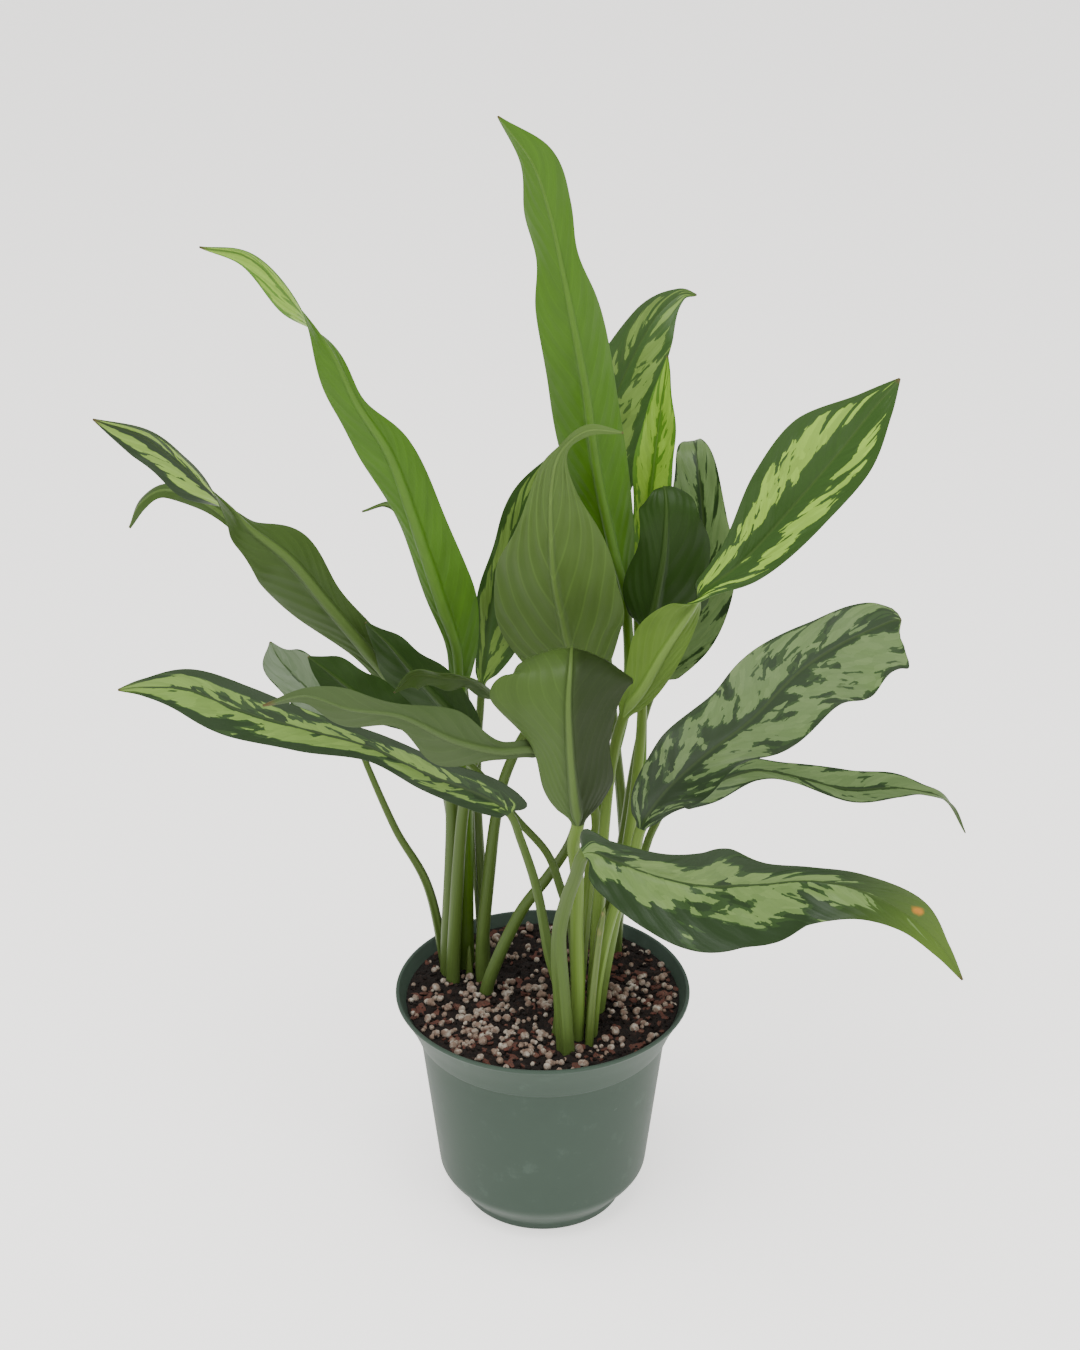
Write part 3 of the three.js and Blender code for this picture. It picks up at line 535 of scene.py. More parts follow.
      [*seen(910, 915, -130), 11, 9, 0],
      [*seen(943, 948, -134), 4, 5, 0],
      [*seen(962, 980, -137), 0.5, 0.5, 0],
    ],
    "fold": 10, "curl": 16, "wave": [1.6, 3, 0], "lobe": [12, 0], "vein_climb": 1.2,
    "look": ["broad", "plain", "plain"],
  },
  "leaf_back_hook": {
    "stalk": [
      [-33, 34, 104], [-33, 36, 140], seen(472, 800, 40), seen(470, 735, 40),
    ],
    "radius": [2.6, 2],
    "blade": [
      [*seen(462, 680, 38), 5, 5, 180],
      [*seen(450, 610, 38), 8, 8, 180],
      [*seen(432, 555, 38), 8, 8, 180],
      [*seen(408, 518, 38), 4, 4, 180],
      [*seen(386, 505, 39), 1.5, 1.5, 180],
      [*seen(363, 511, 40), 0.5, 0.5, 180],
    ],
    "fold": 14, "curl": 14, "wave": [1.2, 3, 0], "lobe": [0, 0],
    "look": ["bold", "plain", "plain"],
  },
}

# Stubs of young sheaths among the stalks: their points, foot radius and top radius, and
# how blunt their end is.
SHEATHS = {
    "sheath_right": {
        "stalk": [[23, -44, 104], [25, -43, 146], [28, -42, 181], [31, -41, 201]],
        "radius": [2.3, 1.8], "blunt": 0.75,
    },
    "sheath_left": {
        "stalk": [[-39, 19, 104], [-39, 19, 124], [-39, 20, 139]],
        "radius": [3.4, 0.8], "blunt": 0.35,
    },
}


# ------------------------------------------------------------------ settings

def linear(hex_colour):
    """An sRGB hex value as linear red, green, blue and alpha."""
    parts = [int(hex_colour[i:i + 2], 16) / 255 for i in (1, 3, 5)]
    return [c / 12.92 if c <= 0.04045 else ((c + 0.055) / 1.055) ** 2.4 for c in parts] + [1.0]


def colour(name, description, hex_colour):
    """A colour setting that starts at an sRGB hex value."""
    return bpy.props.FloatVectorProperty(
        name=name, description=description, subtype="COLOR", size=3, min=0, max=1,
        default=linear(hex_colour)[:3])


def size(name, description, millimetres):
    """A length setting, kept in metres, that starts at a size in mm."""
    return bpy.props.FloatProperty(
        name=name, description=description, subtype="DISTANCE", unit="LENGTH", min=0,
        default=millimetres * MM)


class EvergreenPot(bpy.types.PropertyGroup):
    plastic: colour("Plastic", "Dusty green of the moulded plastic", "#39463D")
    plastic_light: colour("Worn plastic", "Chalky bloom where the plastic is scuffed", "#54645A")
    scuff: size("Scuff size", "Spacing of the faint scuffs on the wall", 14)
    holes: bpy.props.IntProperty(name="Drain holes", description="How many holes the floor has",
                                 default=DRAIN_HOLES["count"], min=3, max=16)


class EvergreenMix(bpy.types.PropertyGroup):
    peat: colour("Peat", "Damp peat", "#15100D")
    peat_light: colour("Dry peat", "Peat that has dried at the top", "#3E2A22")
    perlite: colour("Perlite", "Expanded white grains", "#A09A8E")
    perlite_stained: colour("Stained perlite", "Grains that took up peat", "#6F5C4F")
    bark: colour("Bark", "Reddish side of the bark chips", "#54291E")
    bark_pale: colour("Torn bark", "Paler torn side of the bark chips", "#6B4638")
    grain: size("Largest grain", "Radius of the largest perlite grain", 2.8)
    grains: bpy.props.IntProperty(name="Grains", description="How many perlite grains lie on top",
                                  default=520, min=0, max=3000)
    chips: bpy.props.IntProperty(name="Chips", description="How many bark chips lie on top",
                                 default=330, min=0, max=2000)
    crumbs: bpy.props.IntProperty(name="Crumbs", description="How many peat crumbs lie on top",
                                  default=900, min=0, max=4000)


class EvergreenLeaves(bpy.types.PropertyGroup):
    dark: colour("Dark green", "Upper face between the pale patches", "#1A2E0F")
    middle: colour("Middle green", "Edge of the pale patches", "#2F4A1C")
    dark_vivid: colour("Dark green of the right upper leaf", "Its ground colour", "#26420E")
    pale_vivid: colour("Pale green of the right upper leaf", "Its patches", "#80A438")
    pale: colour("Pale patches", "Variegation of the full-grown leaves", "#7A9A3E")
    # painted shade and painted sheen: a greyer copy of the pale patch colour, for leaves that lie
    # in shade and carry the pale surround's greyish sheen on their wax
    pale_grey_shade_and_sheen: colour("Greyish patches", "Variegation of the shaded leaves", "#5A7042")
    pale_dull: colour("Dull patches", "Variegation of the lowest leaves", "#5F7740")
    pale_low: colour("Low patches", "Variegation of the low left leaf", "#66823A")
    pale_dusty: colour("Dusty patches", "Greyish leaf at the back left", "#5C6B52")
    tip_green: colour("Tip green", "Plain yellowish green of some tips", "#47601A")
    under: colour("Underside", "Underside of the full-grown leaves", "#324718")
    under_veined: colour("Underside of the centre leaf", "Its green", "#445B25")
    under_centre: colour("Lit underside", "Underside of the leaves in the middle", "#3B5020")
    under_grey: colour("Grey underside", "Underside of the front left leaf", "#394A26")
    # painted shade: a darker copy of the underside green, for the undersides of leaves that lie
    # in shade
    under_painted_shade: colour("Dark underside", "Underside of the shaded leaves", "#1D3506")
    # painted light: a lighter copy of the underside green that stands for light shining through
    # the leaf from behind
    under_painted_backlight: colour("Fresh underside", "Underside with light behind it", "#55702A")
    under_young: colour("Young underside", "Underside of the youngest leaves", "#3A5E0A")
    young: colour("Young green", "Upper face of the youngest leaves", "#4B731D")
    young_pale: colour("Young patches", "Variegation of the youngest leaves", "#7DA236")
    rib: colour("Midrib", "Midribs seen from below", "#6F8A44")
    stalk: colour("Stalk", "Stalks of the full-grown leaves", "#40541F")
    # painted light: a lighter copy of the stalk green, for the stalks that stand in the light at
    # the front
    stalk_painted_light: colour("Fresh stalk", "Stalks in the light at the front", "#566E28")
    young_stalk: colour("Young stalk", "Stalks of the youngest leaves", "#41600F")
    stalk_foot: colour("Stalk foot", "Pale foot of the stalks", "#4F6230")
    tip: colour("Dry tip", "Dried brown tip", "#4C4222")
    rust: colour("Rust", "Rusty fleck on a grown leaf", "#A56C10")
    thickness: size("Blade thickness", "Thickness of a blade between its veins", 0.56)
    vein_height: size("Vein height", "How far the side veins stand out of the underside", 0.3)
    ring: size("Ring spacing", "Spacing of the mesh rings along a blade", 1.25)


class EvergreenSheaths(bpy.types.PropertyGroup):
    sheath: colour("Sheath", "Yellowish green of the young sheath", "#4C5F24")
    paper: colour("Papery margin", "Dried margin of the sheath", "#7A7040")


class EvergreenStage(bpy.types.PropertyGroup):
    floor: colour("Floor", "Pale plain floor", "#EFEDEB")
    width: size("Floor width", "Side of the floor", 40000)
    key: bpy.props.FloatProperty(name="Key light", description="Power of the large top light",
                                 subtype="POWER", default=46, min=0)
    fill: bpy.props.FloatProperty(name="Fill light", description="Power of the front light",
                                  subtype="POWER", default=11, min=0)
    sky: bpy.props.FloatProperty(name="Surround", description="Strength of the pale surround",
                                 default=0.95, min=0)
    glow: bpy.props.FloatProperty(name="Floor glow", description="Light of the lit paper itself",
                                  default=1.3, min=0)


# ------------------------------------------------------------------ meshes and materials

def add_node(tree, kind, *inputs, out=0, **settings):
    """Adds one node and gives the socket of one output. Inputs come in order, or as a
    dictionary by name or number; each is a value, or another node's socket to link."""
    node = tree.nodes.new("ShaderNode" + kind)
    for key, value in settings.items():
        setattr(node, key, value)
    by_name = inputs and isinstance(inputs[0], dict)
    for key, value in (inputs[0] if by_name else dict(enumerate(inputs))).items():
        if isinstance(value, bpy.types.NodeSocket):
            tree.links.new(value, node.inputs[key])
        else:
            node.inputs[key].default_value = value
    return node.outputs[out] if node.outputs else node


def blank_material(name):
    """A new material with nothing in its tree."""
    material = bpy.data.materials.get(name) or bpy.data.materials.new(name)
    material.use_nodes = True
    material.node_tree.nodes.clear()
    return material


def opaque(rgb):
    """A colour property as the four numbers that a socket takes."""
    return [*rgb, 1.0]


def unit(v):
    """Vectors at length 1."""
    return v / np.maximum(np.linalg.norm(v, axis=-1, keepdims=True), LEAST_LENGTH)


def square_to(v, along):
    """v made square to a direction, at length 1."""
    return unit(v - along * np.sum(v * along, axis=-1, keepdims=True))


def smooth(value):
    """0 to 1 with level ends."""
    value = np.clip(value, 0, 1)
    return value * value * (3 - 2 * value)


def rows_at(rows, places):
    """Catmull-Rom interpolation of rows of numbers at places counted in rows."""
    rows = np.asarray(rows, float)
    longer = np.vstack([2 * rows[0] - rows[1], rows, 2 * rows[-1] - rows[-2]])
    last = len(rows) - 1
    at = np.clip(places, 0, last)
    i = np.minimum(at.astype(int), last - 1)
    f = (at - i)[:, None]
    a, b, c, d = (longer[i + k] for k in range(4))
    return 0.5 * (2 * b + (c - a) * f + (2 * a - 5 * b + 4 * c - d) * f ** 2
                  + (3 * b - a - 3 * c + d) * f ** 3)


def new_piece(name, points, faces, node=None, smooth_shaded=True):
    """A mesh object from points in mm that rides on the body; if a node is given, the model's
    part of that name is hidden.
    """
    old = bpy.data.objects.get(name)
    if old is not None and "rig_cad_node" not in old:
        bpy.data.objects.remove(old)
    mesh = bpy.data.meshes.new(name)
    mesh.from_pydata((np.asarray(points) * MM).tolist(), [], faces)
    outward = bmesh.new()
    outward.from_mesh(mesh)
    bmesh.ops.recalc_face_normals(outward, faces=outward.faces)
    outward.to_mesh(mesh)
    outward.free()
    mesh.polygons.foreach_set("use_smooth", [smooth_shaded] * len(mesh.polygons))
    piece = bpy.data.objects.new(name, mesh)
    bpy.context.scene.collection.objects.link(piece)
    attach(piece, BODY)
    if node:
        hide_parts(node)
    return piece


def wall_faces(rings, count, first=0):
    """Faces between rings of equally many points."""
    k = np.arange(count)
    faces = []
    for i in range(rings - 1):
        a = first + i * count
        faces += np.stack([a + k, a + (k + 1) % count, a + count + (k + 1) % count,
                           a + count + k], axis=1).tolist()
    return faces


# ------------------------------------------------------------------ pot

def rounded_wall(corners, steps=4):
    """A profile whose corners are rounded off by the given distances."""
    profile = []
    for i, (radius, height, cut) in enumerate(corners):
        here = np.array([radius, height], float)
        if cut == 0 or i in (0, len(corners) - 1):
            profile.append(here)
            continue
        before = np.array(corners[i - 1][:2], float) - here
        after = np.array(corners[i + 1][:2], float) - here
        reach = min(cut, 0.45 * np.linalg.norm(before), 0.45 * np.linalg.norm(after))
        start = here + unit(before) * reach
        end = here + unit(after) * reach
        for t in np.linspace(0, 1, steps + 1):
            profile.append((1 - t) ** 2 * start + 2 * t * (1 - t) * here + t * t * end)
    return profile


def long_gaps_filled(profile, longest):
    """The profile with points added so that no step is longer than the given one."""
    filled = [profile[0]]
    for here, there in zip(profile[:-1], profile[1:]):
        steps = max(1, int(np.ceil(np.linalg.norm(there - here) / longest)))
        filled += [here + (there - here) * (i + 1) / steps for i in range(steps)]
    return filled


def circle(radius, height, sides):
    """A level ring of points about the Z axis."""
    angles = 2 * np.pi * np.arange(sides) / sides
    return np.stack([radius * np.cos(angles), radius * np.sin(angles),
                     np.full(sides, height)], axis=1)


def closed_round(low, rings, high):
    """Points and faces of rings about the Z axis, closed by a point on it at both ends."""
    sides = len(rings[0])
    points = np.vstack([[[0, 0, low]], *rings, [[0, 0, high]]])
    last = 1 + (len(rings) - 1) * sides
    faces = [[0, 1 + (k + 1) % sides, 1 + k] for k in range(sides)]
    faces += wall_faces(len(rings), sides, 1)
    faces += [[last + k, last + (k + 1) % sides, len(points) - 1] for k in range(sides)]
    return points, faces


def turned(profile, sides):
    """Points and faces of a profile turned about the Z axis, closed where it starts and ends."""
    rings = [circle(radius, height, sides) for radius, height in profile[1:-1]]
    return closed_round(profile[0][1], rings, profile[-1][1])


def drain_drill(holes):
    """Rods through the floor of the pot, one for each drain hole, as one object."""
    radius, low, high = DRAIN_HOLES["radius"], DRILL["low"], DRILL["high"]
    outline = [(0, low), (radius, low), (radius, high), (0, high)]
    points, faces = [], []
    for i in range(holes):
        angle = 2 * math.pi * (i + 0.5) / holes
        rod, rod_faces = turned(outline, DRILL["sides"])
        rod[:, :2] += DRAIN_HOLES["circle"] * np.array([math.cos(angle), math.sin(angle)])
        faces += [[k + len(points) for k in face] for face in rod_faces]
        points += rod.tolist()
    mesh = bpy.data.meshes.new("drain_drill")
    mesh.from_pydata((np.array(points) * MM).tolist(), [], faces)
    drill = bpy.data.objects.new("drain_drill", mesh)
    bpy.context.scene.collection.objects.link(drill)
    return drill


def cut_out(piece, drill):
    """Cuts the drill out of a piece for good, and deletes the drill."""
    cut = piece.modifiers.new("drain_holes", "BOOLEAN")
    cut.object, cut.operation, cut.solver = drill, "DIFFERENCE", "EXACT"
    bpy.context.view_layer.update()
    piece.data = bpy.data.meshes.new_from_object(
        piece.evaluated_get(bpy.context.evaluated_depsgraph_get()))
    piece.modifiers.clear()
    bpy.data.objects.remove(drill)


def moulded_plastic(name, look):
    """Injection-moulded polypropylene, made with a fine satin mould: an even dull sheen.
    Dust and handling leave a chalky bloom in scuffs of about 14 mm and fine upright drag
    marks, which the eye reads as soft pale smears over the wall."""
    material = blank_material(name)
    add = partial(add_node, material.node_tree)
    place = add("TexCoord", out="Object")
    smear = add("TexNoise", {
        "Vector": place, "Scale": 1 / look.scuff, "Detail": 5.0, "Roughness": 0.62})
    drag = add("Mapping", {
        "Vector": place, "Scale": (900.0, 900.0, 60.0)})
    marks = add("TexNoise", {
        "Vector": drag, "Scale": 1.0, "Detail": 3.0})
    # mould grain of about 0.8 mm, drawn coarser than real so that it shows
    grain = add("TexNoise", {
        "Vector": place, "Scale": 1 / (0.8 * MM), "Detail": 2.0})
    bloom = add("MapRange", smear, 0.56, 0.76, interpolation_type="SMOOTHSTEP")
    bloom = add("Math", bloom, add("Math", marks, 0.7, 0.1, operation="MULTIPLY_ADD"),
                operation="MULTIPLY")
    spots = add("TexNoise", {
        "Vector": place, "Scale": 1 / (5 * MM), "Detail": 4.0, "Roughness": 0.7})
    dust = add("MapRange", spots, 0.66, 0.74, interpolation_type="SMOOTHSTEP")
    dust = add("Math", dust, 0.35, operation="MULTIPLY")
    amount = add("Math", add("Math", bloom, 0.5, operation="MULTIPLY"), dust,
                 operation="ADD", use_clamp=True)
    base = add("Mix", {0: amount, 6: opaque(look.plastic), 7: opaque(look.plastic_light)},
               out=2, data_type="RGBA")
    tone = add("Math", smear, 0.16, 0.92, operation="MULTIPLY_ADD")
    base = add("HueSaturation", {"Value": tone, "Color": base})
    rough = add("Math", smear, 0.14, 0.42, operation="MULTIPLY_ADD")
    bump = add("Bump", {
        "Strength": 0.35, "Distance": 0.05 * MM, "Height": grain})
    shader = add("BsdfPrincipled", {
        "Base Color": base, "Roughness": rough, "IOR": 1.49, "Specular IOR Level": 0.1,
        "Normal": bump})
    add("OutputMaterial", {"Surface": shader})
    return material


# ------------------------------------------------------------------ potting mix

def stalk_feet():
    """Where each stalk and sheath leaves the mix: x, y and radius in mm."""
    feet = []
    for part in [*LEAVES.values(), *SHEATHS.values()]:
        rows = np.array(part["stalk"], float)
        points = rows_at(rows, np.linspace(0, len(rows) - 1, FOOT_STEPS))
        at = points[np.argmin(np.abs(points[:, 2] - MIX_LEVEL))]
        feet.append([at[0], at[1], part["radius"][0]])
    return np.array(feet)


def waves(x, y, seed, lengths, heights, crossings=5):
    """A seeded sum of crossing waves: soft, endless unevenness in mm."""
    rng = np.random.default_rng(seed)
    total = np.zeros_like(x)
    for length, height in zip(lengths, heights):
        for _ in range(crossings):
            turn, start = rng.uniform(0, 2 * np.pi, 2)
            stretch = rng.uniform(0.75, 1.35)
            # five waves that cross add up to about 2.2 times the height of one
            total += height / 2.2 * np.sin(
                2 * np.pi * (x * np.cos(turn) + y * np.sin(turn)) / (length * stretch) + start)
    return total


def mix_height(x, y):
    """Height of the mix's top in mm: lumps about 5, 11 and 26 mm long, level at the wall."""
    edge, level = MIX_SIDE[-1]
    fade = smooth((edge - np.hypot(x, y)) / LUMP_RUN_IN)
    return level + fade * (MIX_CROWN + waves(x, y, LUMP_SEED, LUMP_LENGTHS, LUMP_HEIGHTS))


def mix_body():
    """Points and faces of the mix: the pot's inside up to a lumpy top."""
    rings = [circle(radius, height, MIX_SIDES) for radius, height in MIX_SIDE]
    edge = MIX_SIDE[-1][0]
    for i in range(1, MIX_RINGS):
        x, y, _ = circle(edge * (1 - i / MIX_RINGS), 0, MIX_SIDES).T.copy()
        rings.append(np.stack([x, y, mix_height(x, y)], axis=1))
    middle = mix_height(np.zeros(1), np.zeros(1))[0]
    return closed_round(MIX_SIDE[0][1], rings, middle)


def round_ball(cuts):
    """Points and triangles of a ball of radius 1, from an icosahedron cut finer."""
    golden = (1 + 5 ** 0.5) / 2
    points = [(-1, golden, 0), (1, golden, 0), (-1, -golden, 0), (1, -golden, 0),
              (0, -1, golden), (0, 1, golden), (0, -1, -golden), (0, 1, -golden),
              (golden, 0, -1), (golden, 0, 1), (-golden, 0, -1), (-golden, 0, 1)]
    faces = [(0, 11, 5), (0, 5, 1), (0, 1, 7), (0, 7, 10), (0, 10, 11), (1, 5, 9), (5, 11, 4),
             (11, 10, 2), (10, 7, 6), (7, 1, 8), (3, 9, 4), (3, 4, 2), (3, 2, 6), (3, 6, 8),
             (3, 8, 9), (4, 9, 5), (2, 4, 11), (6, 2, 10), (8, 6, 7), (9, 8, 1)]
    points = [tuple(unit(np.array(p, float))) for p in points]
    for _ in range(cuts):
        halfway = {}
        finer = []
        for face in faces:
            middles = []
            for a, b in zip(face, face[1:] + face[:1]):
                key = (min(a, b), max(a, b))
                if key not in halfway:
                    halfway[key] = len(points)
                    points.append(tuple(unit(np.array(points[a]) + np.array(points[b]))))
                middles.append(halfway[key])
            a, b, c = face
            ab, bc, ca = middles
            finer += [(a, ab, ca), (b, bc, ab), (c, ca, bc), (ab, bc, ca)]
        faces = finer
    return np.array(points), np.array(faces)


def turn_matrices(rng, count):
    """Random turns."""
    q = unit(rng.normal(size=(count, 4)))
    w, x, y, z = q.T
    return np.stack([
        np.stack([1 - 2 * (y * y + z * z), 2 * (x * y - w * z), 2 * (x * z + w * y)], -1),
        np.stack([2 * (x * y + w * z), 1 - 2 * (x * x + z * z), 2 * (y * z - w * x)], -1),
        np.stack([2 * (x * z - w * y), 2 * (y * z + w * x), 1 - 2 * (x * x + y * y)], -1),
    ], axis=1)


def scattered(rng, count, radii, wanted):
    """Places on the mix, thinned out by the chance that wanted gives, clear of the stalks."""
    feet = stalk_feet()
    edge = MIX_SIDE[-1][0]
    most_tries = 60 * count
    places = []
    tries = 0
    while len(places) < count and tries < most_tries:
        tries += 1
        reach = (edge - GRAIN_MIDDLE_GAP) * math.sqrt(rng.uniform())
        angle = rng.uniform(0, 2 * math.pi)
        chance = rng.uniform()
        radius = radii[len(places)]
        reach = min(reach, edge - GRAIN_SIDE_GAP - radius)
        x, y = reach * math.cos(angle), reach * math.sin(angle)
        if chance > wanted(x, y):
            continue
        if np.any(np.hypot(feet[:, 0] - x, feet[:, 1] - y) < feet[:, 2] + 0.7 * radius):
            continue
        places.append([x, y])
    return np.array(places)


def perlite_wanted(x, y):
    """Perlite lies at the left and the front, with a patch at the right, and in clumps."""
    left = math.exp(-((x + 34) ** 2 + (y + 22) ** 2) / 34 ** 2)
    right = math.exp(-((x - 48) ** 2 + (y + 6) ** 2) / 17 ** 2)
    front = math.exp(-((x - 12) ** 2 + (y + 62) ** 2) / 16 ** 2)
    clumps = math.sin(0.33 * x + 1.7 * math.sin(0.14 * y)) * math.sin(
        0.29 * y + 2 * math.sin(0.17 * x))
    return min(1, (0.2 + 0.75 * left + 0.5 * right + 0.4 * front) * (0.7 + 0.8 * clumps))


def bark_wanted(x, y):
    """Bark chips lie everywhere, with more at the front left and the right edge."""
    left = math.exp(-((x + 20) ** 2 + (y + 44) ** 2) / 22 ** 2)
    return min(1, 0.45 + 0.5 * left + 0.2 * (x > 40))


def grain_piece(name, count, draw_radii, wanted, seed, shape, cuts, lumps, sink, bulges=9):
    """Many closed grains as one mesh: balls pushed out into lumps, flattened and turned."""
    rng = np.random.default_rng(seed)
    ball, triangles = round_ball(cuts)
    radii = draw_radii(rng, count)
    places = scattered(rng, count, radii, wanted)
    count = len(places)
    radii = radii[:count]
    turns = turn_matrices(rng, count)
    swell_to = unit(rng.normal(size=(count, bulges, 3)))
    height = rng.uniform(0.3, 1, size=(count, bulges)) * lumps
    near = np.einsum("nkd,vd->nkv", swell_to, ball)
    swell = 1 + np.max(height[:, :, None] * smooth((near - 0.35) / 0.65), axis=1)
    squeeze = rng.uniform(shape[0], shape[1], size=(count, 3))
    body = ball[None] * swell[..., None] * squeeze[:, None] / (1 + 0.5 * lumps)
    body = np.einsum("nij,nvj->nvi", turns, body) * radii[:, None, None]
    low = mix_height(places[:, 0], places[:, 1])
    centre = np.stack([places[:, 0], places[:, 1], low + (1 - sink) * radii * shape[2]], 1)
    points = (body + centre[:, None]).reshape(-1, 3)
    faces = (triangles[None] + (np.arange(count) * len(ball))[:, None, None]).reshape(-1, 3)
    return new_piece(name, points, faces.tolist())


def chip_turn(heading, tip, roll):
    """The turn of a chip that points to a heading, tips up and rolls, in radians."""
    ct, st, cr, sr = math.cos(tip), math.sin(tip), math.cos(roll), math.sin(roll)
    ch, sh = math.cos(heading), math.sin(heading)
    pitch = np.array([[ct, 0, st], [0, 1, 0], [-st, 0, ct]])
    lean = np.array([[1, 0, 0], [0, cr, -sr], [0, sr, cr]])
    face_to = np.array([[ch, -sh, 0], [sh, ch, 0], [0, 0, 1]])
    return face_to @ pitch @ lean


def chip_piece(name, count, seed, across=6):
    """Bark chips as one mesh: thin slabs, split along the grain and with torn ends. Each one
    has its points in four rows, the upper and lower ones of its two long sides."""
    rng = np.random.default_rng(seed)
    lengths = rng.uniform(1.5, 4.6, count) * rng.uniform(0.7, 1, count)
    places = scattered(rng, count, 0.5 * lengths, bark_wanted)
    u = np.linspace(-1, 1, across)
    points, faces = [], []
    for (x, y), long in zip(places, lengths):
        wide = long * rng.uniform(0.35, 0.7)
        thick = rng.uniform(0.5, 1.1)
        heading = rng.uniform(0, 2 * np.pi)
        tip = rng.uniform(-0.3, 0.3)
        roll = rng.uniform(-0.5, 0.5)
        torn = rng.uniform(0.72, 1.05, (2, across))
        bow = rng.uniform(-0.25, 0.25)
        turn = chip_turn(heading, tip, roll)
        low = float(mix_height(np.array([x]), np.array([y]))[0])
        middle = [x, y, low + 0.55 * thick]
        first = len(points)
        for side, level in ((1, 1), (-1, 1), (-1, -1), (1, -1)):
            end = u * long * torn[0 if side > 0 else 1]
            out = side * wide * (1 - 0.35 * u ** 2) * torn[1]
            up = level * thick * (1 - 0.5 * u ** 2) / 2 + bow * (u * u) * long
            row = np.stack([end, out, up + 0.12 * thick * rng.normal(size=across)], 1)
            points += (row @ turn.T + middle).tolist()
        for j in range(across - 1):
            for side in range(4):
                a = first + side * across + j
                b = first + (side + 1) % 4 * across + j
                faces.append([a, a + 1, b + 1, b])
        ends = [first + side * across for side in range(4)]
        faces += [ends, [end + across - 1 for end in reversed(ends)]]
    return new_piece(name, points, faces, smooth_shaded=False)


def crumbly_peat(name, look):
    """Milled sphagnum peat, damp: nearly black brown, with fibres and crumbs of about
    1.5 mm that have dried lighter, and no gloss at all."""
    material = blank_material(name)
    add = partial(add_node, material.node_tree)
    place = add("TexCoord", out="Object")
    crumbs = add("TexVoronoi", {
        "Vector": place, "Scale": 1 / (1.5 * MM), "Randomness": 1.0})
    fibres = add("TexNoise", {
        "Vector": place, "Scale": 1 / (2.2 * MM), "Detail": 6.0, "Roughness": 0.75})
    patches = add("TexNoise", {
        "Vector": place, "Scale": 1 / (16 * MM), "Detail": 2.0})
    dry = add("MapRange", fibres, 0.46, 0.72, interpolation_type="SMOOTHSTEP")
    dry = add("Math", dry, add("Math", patches, 0.9, 0.1, operation="MULTIPLY_ADD"),
              operation="MULTIPLY")
    base = add("Mix", {0: dry, 6: opaque(look.peat), 7: opaque(look.peat_light)},
               out=2, data_type="RGBA")
    height = add("Math", fibres, crumbs, operation="SUBTRACT")
    bump = add("Bump", {
        "Strength": 0.9, "Distance": 0.9 * MM, "Height": height})
    shader = add("BsdfPrincipled", {
        "Base Color": base, "Roughness": 0.95, "IOR": 1.35, "Normal": bump})
    add("OutputMaterial", {"Surface": shader})
    return material


def puffed_grain(name, fresh, stained):
    """Perlite, a volcanic glass popped by heat: matt off-white foam with pores of about
    0.6 mm. Each grain took up its own share of brown from the peat."""
    material = blank_material(name)
    add = partial(add_node, material.node_tree)
    place = add("TexCoord", out="Object")
    pores = add("TexVoronoi", {
        "Vector": place, "Scale": 1 / (0.6 * MM)})
    stain = add("TexNoise", {
        "Vector": place, "Scale": 1 / (4 * MM), "Detail": 3.0, "Roughness": 0.7})
    clean = add("MapRange", stain, 0.42, 0.7, interpolation_type="SMOOTHSTEP")
    base = add("Mix", {0: clean, 6: opaque(stained), 7: opaque(fresh)},
               out=2, data_type="RGBA")
    pits = add("MapRange", pores, 0.45, 0.1, interpolation_type="SMOOTHSTEP")
    base = add("Mix", {0: add("Math", pits, 0.25, operation="MULTIPLY"), 6: base,
                       7: opaque(stained)}, out=2, data_type="RGBA")
    bump = add("Bump", {
        "Strength": 0.6, "Distance": 0.2 * MM, "Height": pores})
    shader = add("BsdfPrincipled", {
        "Base Color": base, "Roughness": 0.9, "IOR": 1.4, "Normal": bump})
    add("OutputMaterial", {"Surface": shader})
    return material


def torn_bark(name, look):
    """Composted pine bark, shredded: reddish brown plates with a fibrous grain of about
    0.7 mm, paler where they tore."""
    material = blank_material(name)
    add = partial(add_node, material.node_tree)
    place = add("TexCoord", out="Object")
    fibre = add("TexNoise", {
        "Vector": place, "Scale": 1 / (0.7 * MM), "Detail": 4.0})
    which = add("TexNoise", {
        "Vector": place, "Scale": 1 / (6 * MM), "Detail": 2.0})
    torn = add("MapRange", which, 0.5, 0.68, interpolation_type="SMOOTHSTEP")
    base = add("Mix", {0: torn, 6: opaque(look.bark), 7: opaque(look.bark_pale)},
               out=2, data_type="RGBA")
    strand = add("MapRange", fibre, 0.35, 0.7, interpolation_type="SMOOTHSTEP")
    base = add("Mix", {0: strand, 6: opaque(look.peat_light), 7: base},
               out=2, data_type="RGBA")
    bump = add("Bump", {
        "Strength": 0.8, "Distance": 0.3 * MM, "Height": fibre})
    shader = add("BsdfPrincipled", {
        "Base Color": base, "Roughness": 0.88, "IOR": 1.4, "Normal": bump})
    add("OutputMaterial", {"Surface": shader})
    return material


# ------------------------------------------------------------------ leaf shapes

# Steps in which lengths are measured and a blade's directions are carried along it.
LENGTH_STEPS = 600
FRAME_STEPS = 60

# Mesh steps in mm, along a stalk and across a blade, the least and most steps across one
# half, and how far inside the rim a blade's last row of points but one lies.
STALK_STEP = 4.0
SIDE_STEP = 1.7
SIDE_STEPS = (7, 19)
EDGE_SUPPORT = 0.35

# Where the points round each half of a midrib lie, and its radius in mm at the tip.
LEFT_OF_RIB = np.radians([-90, -60, -30])
RIGHT_OF_RIB = np.radians([30, 60, 90])
RIB_END = 0.3

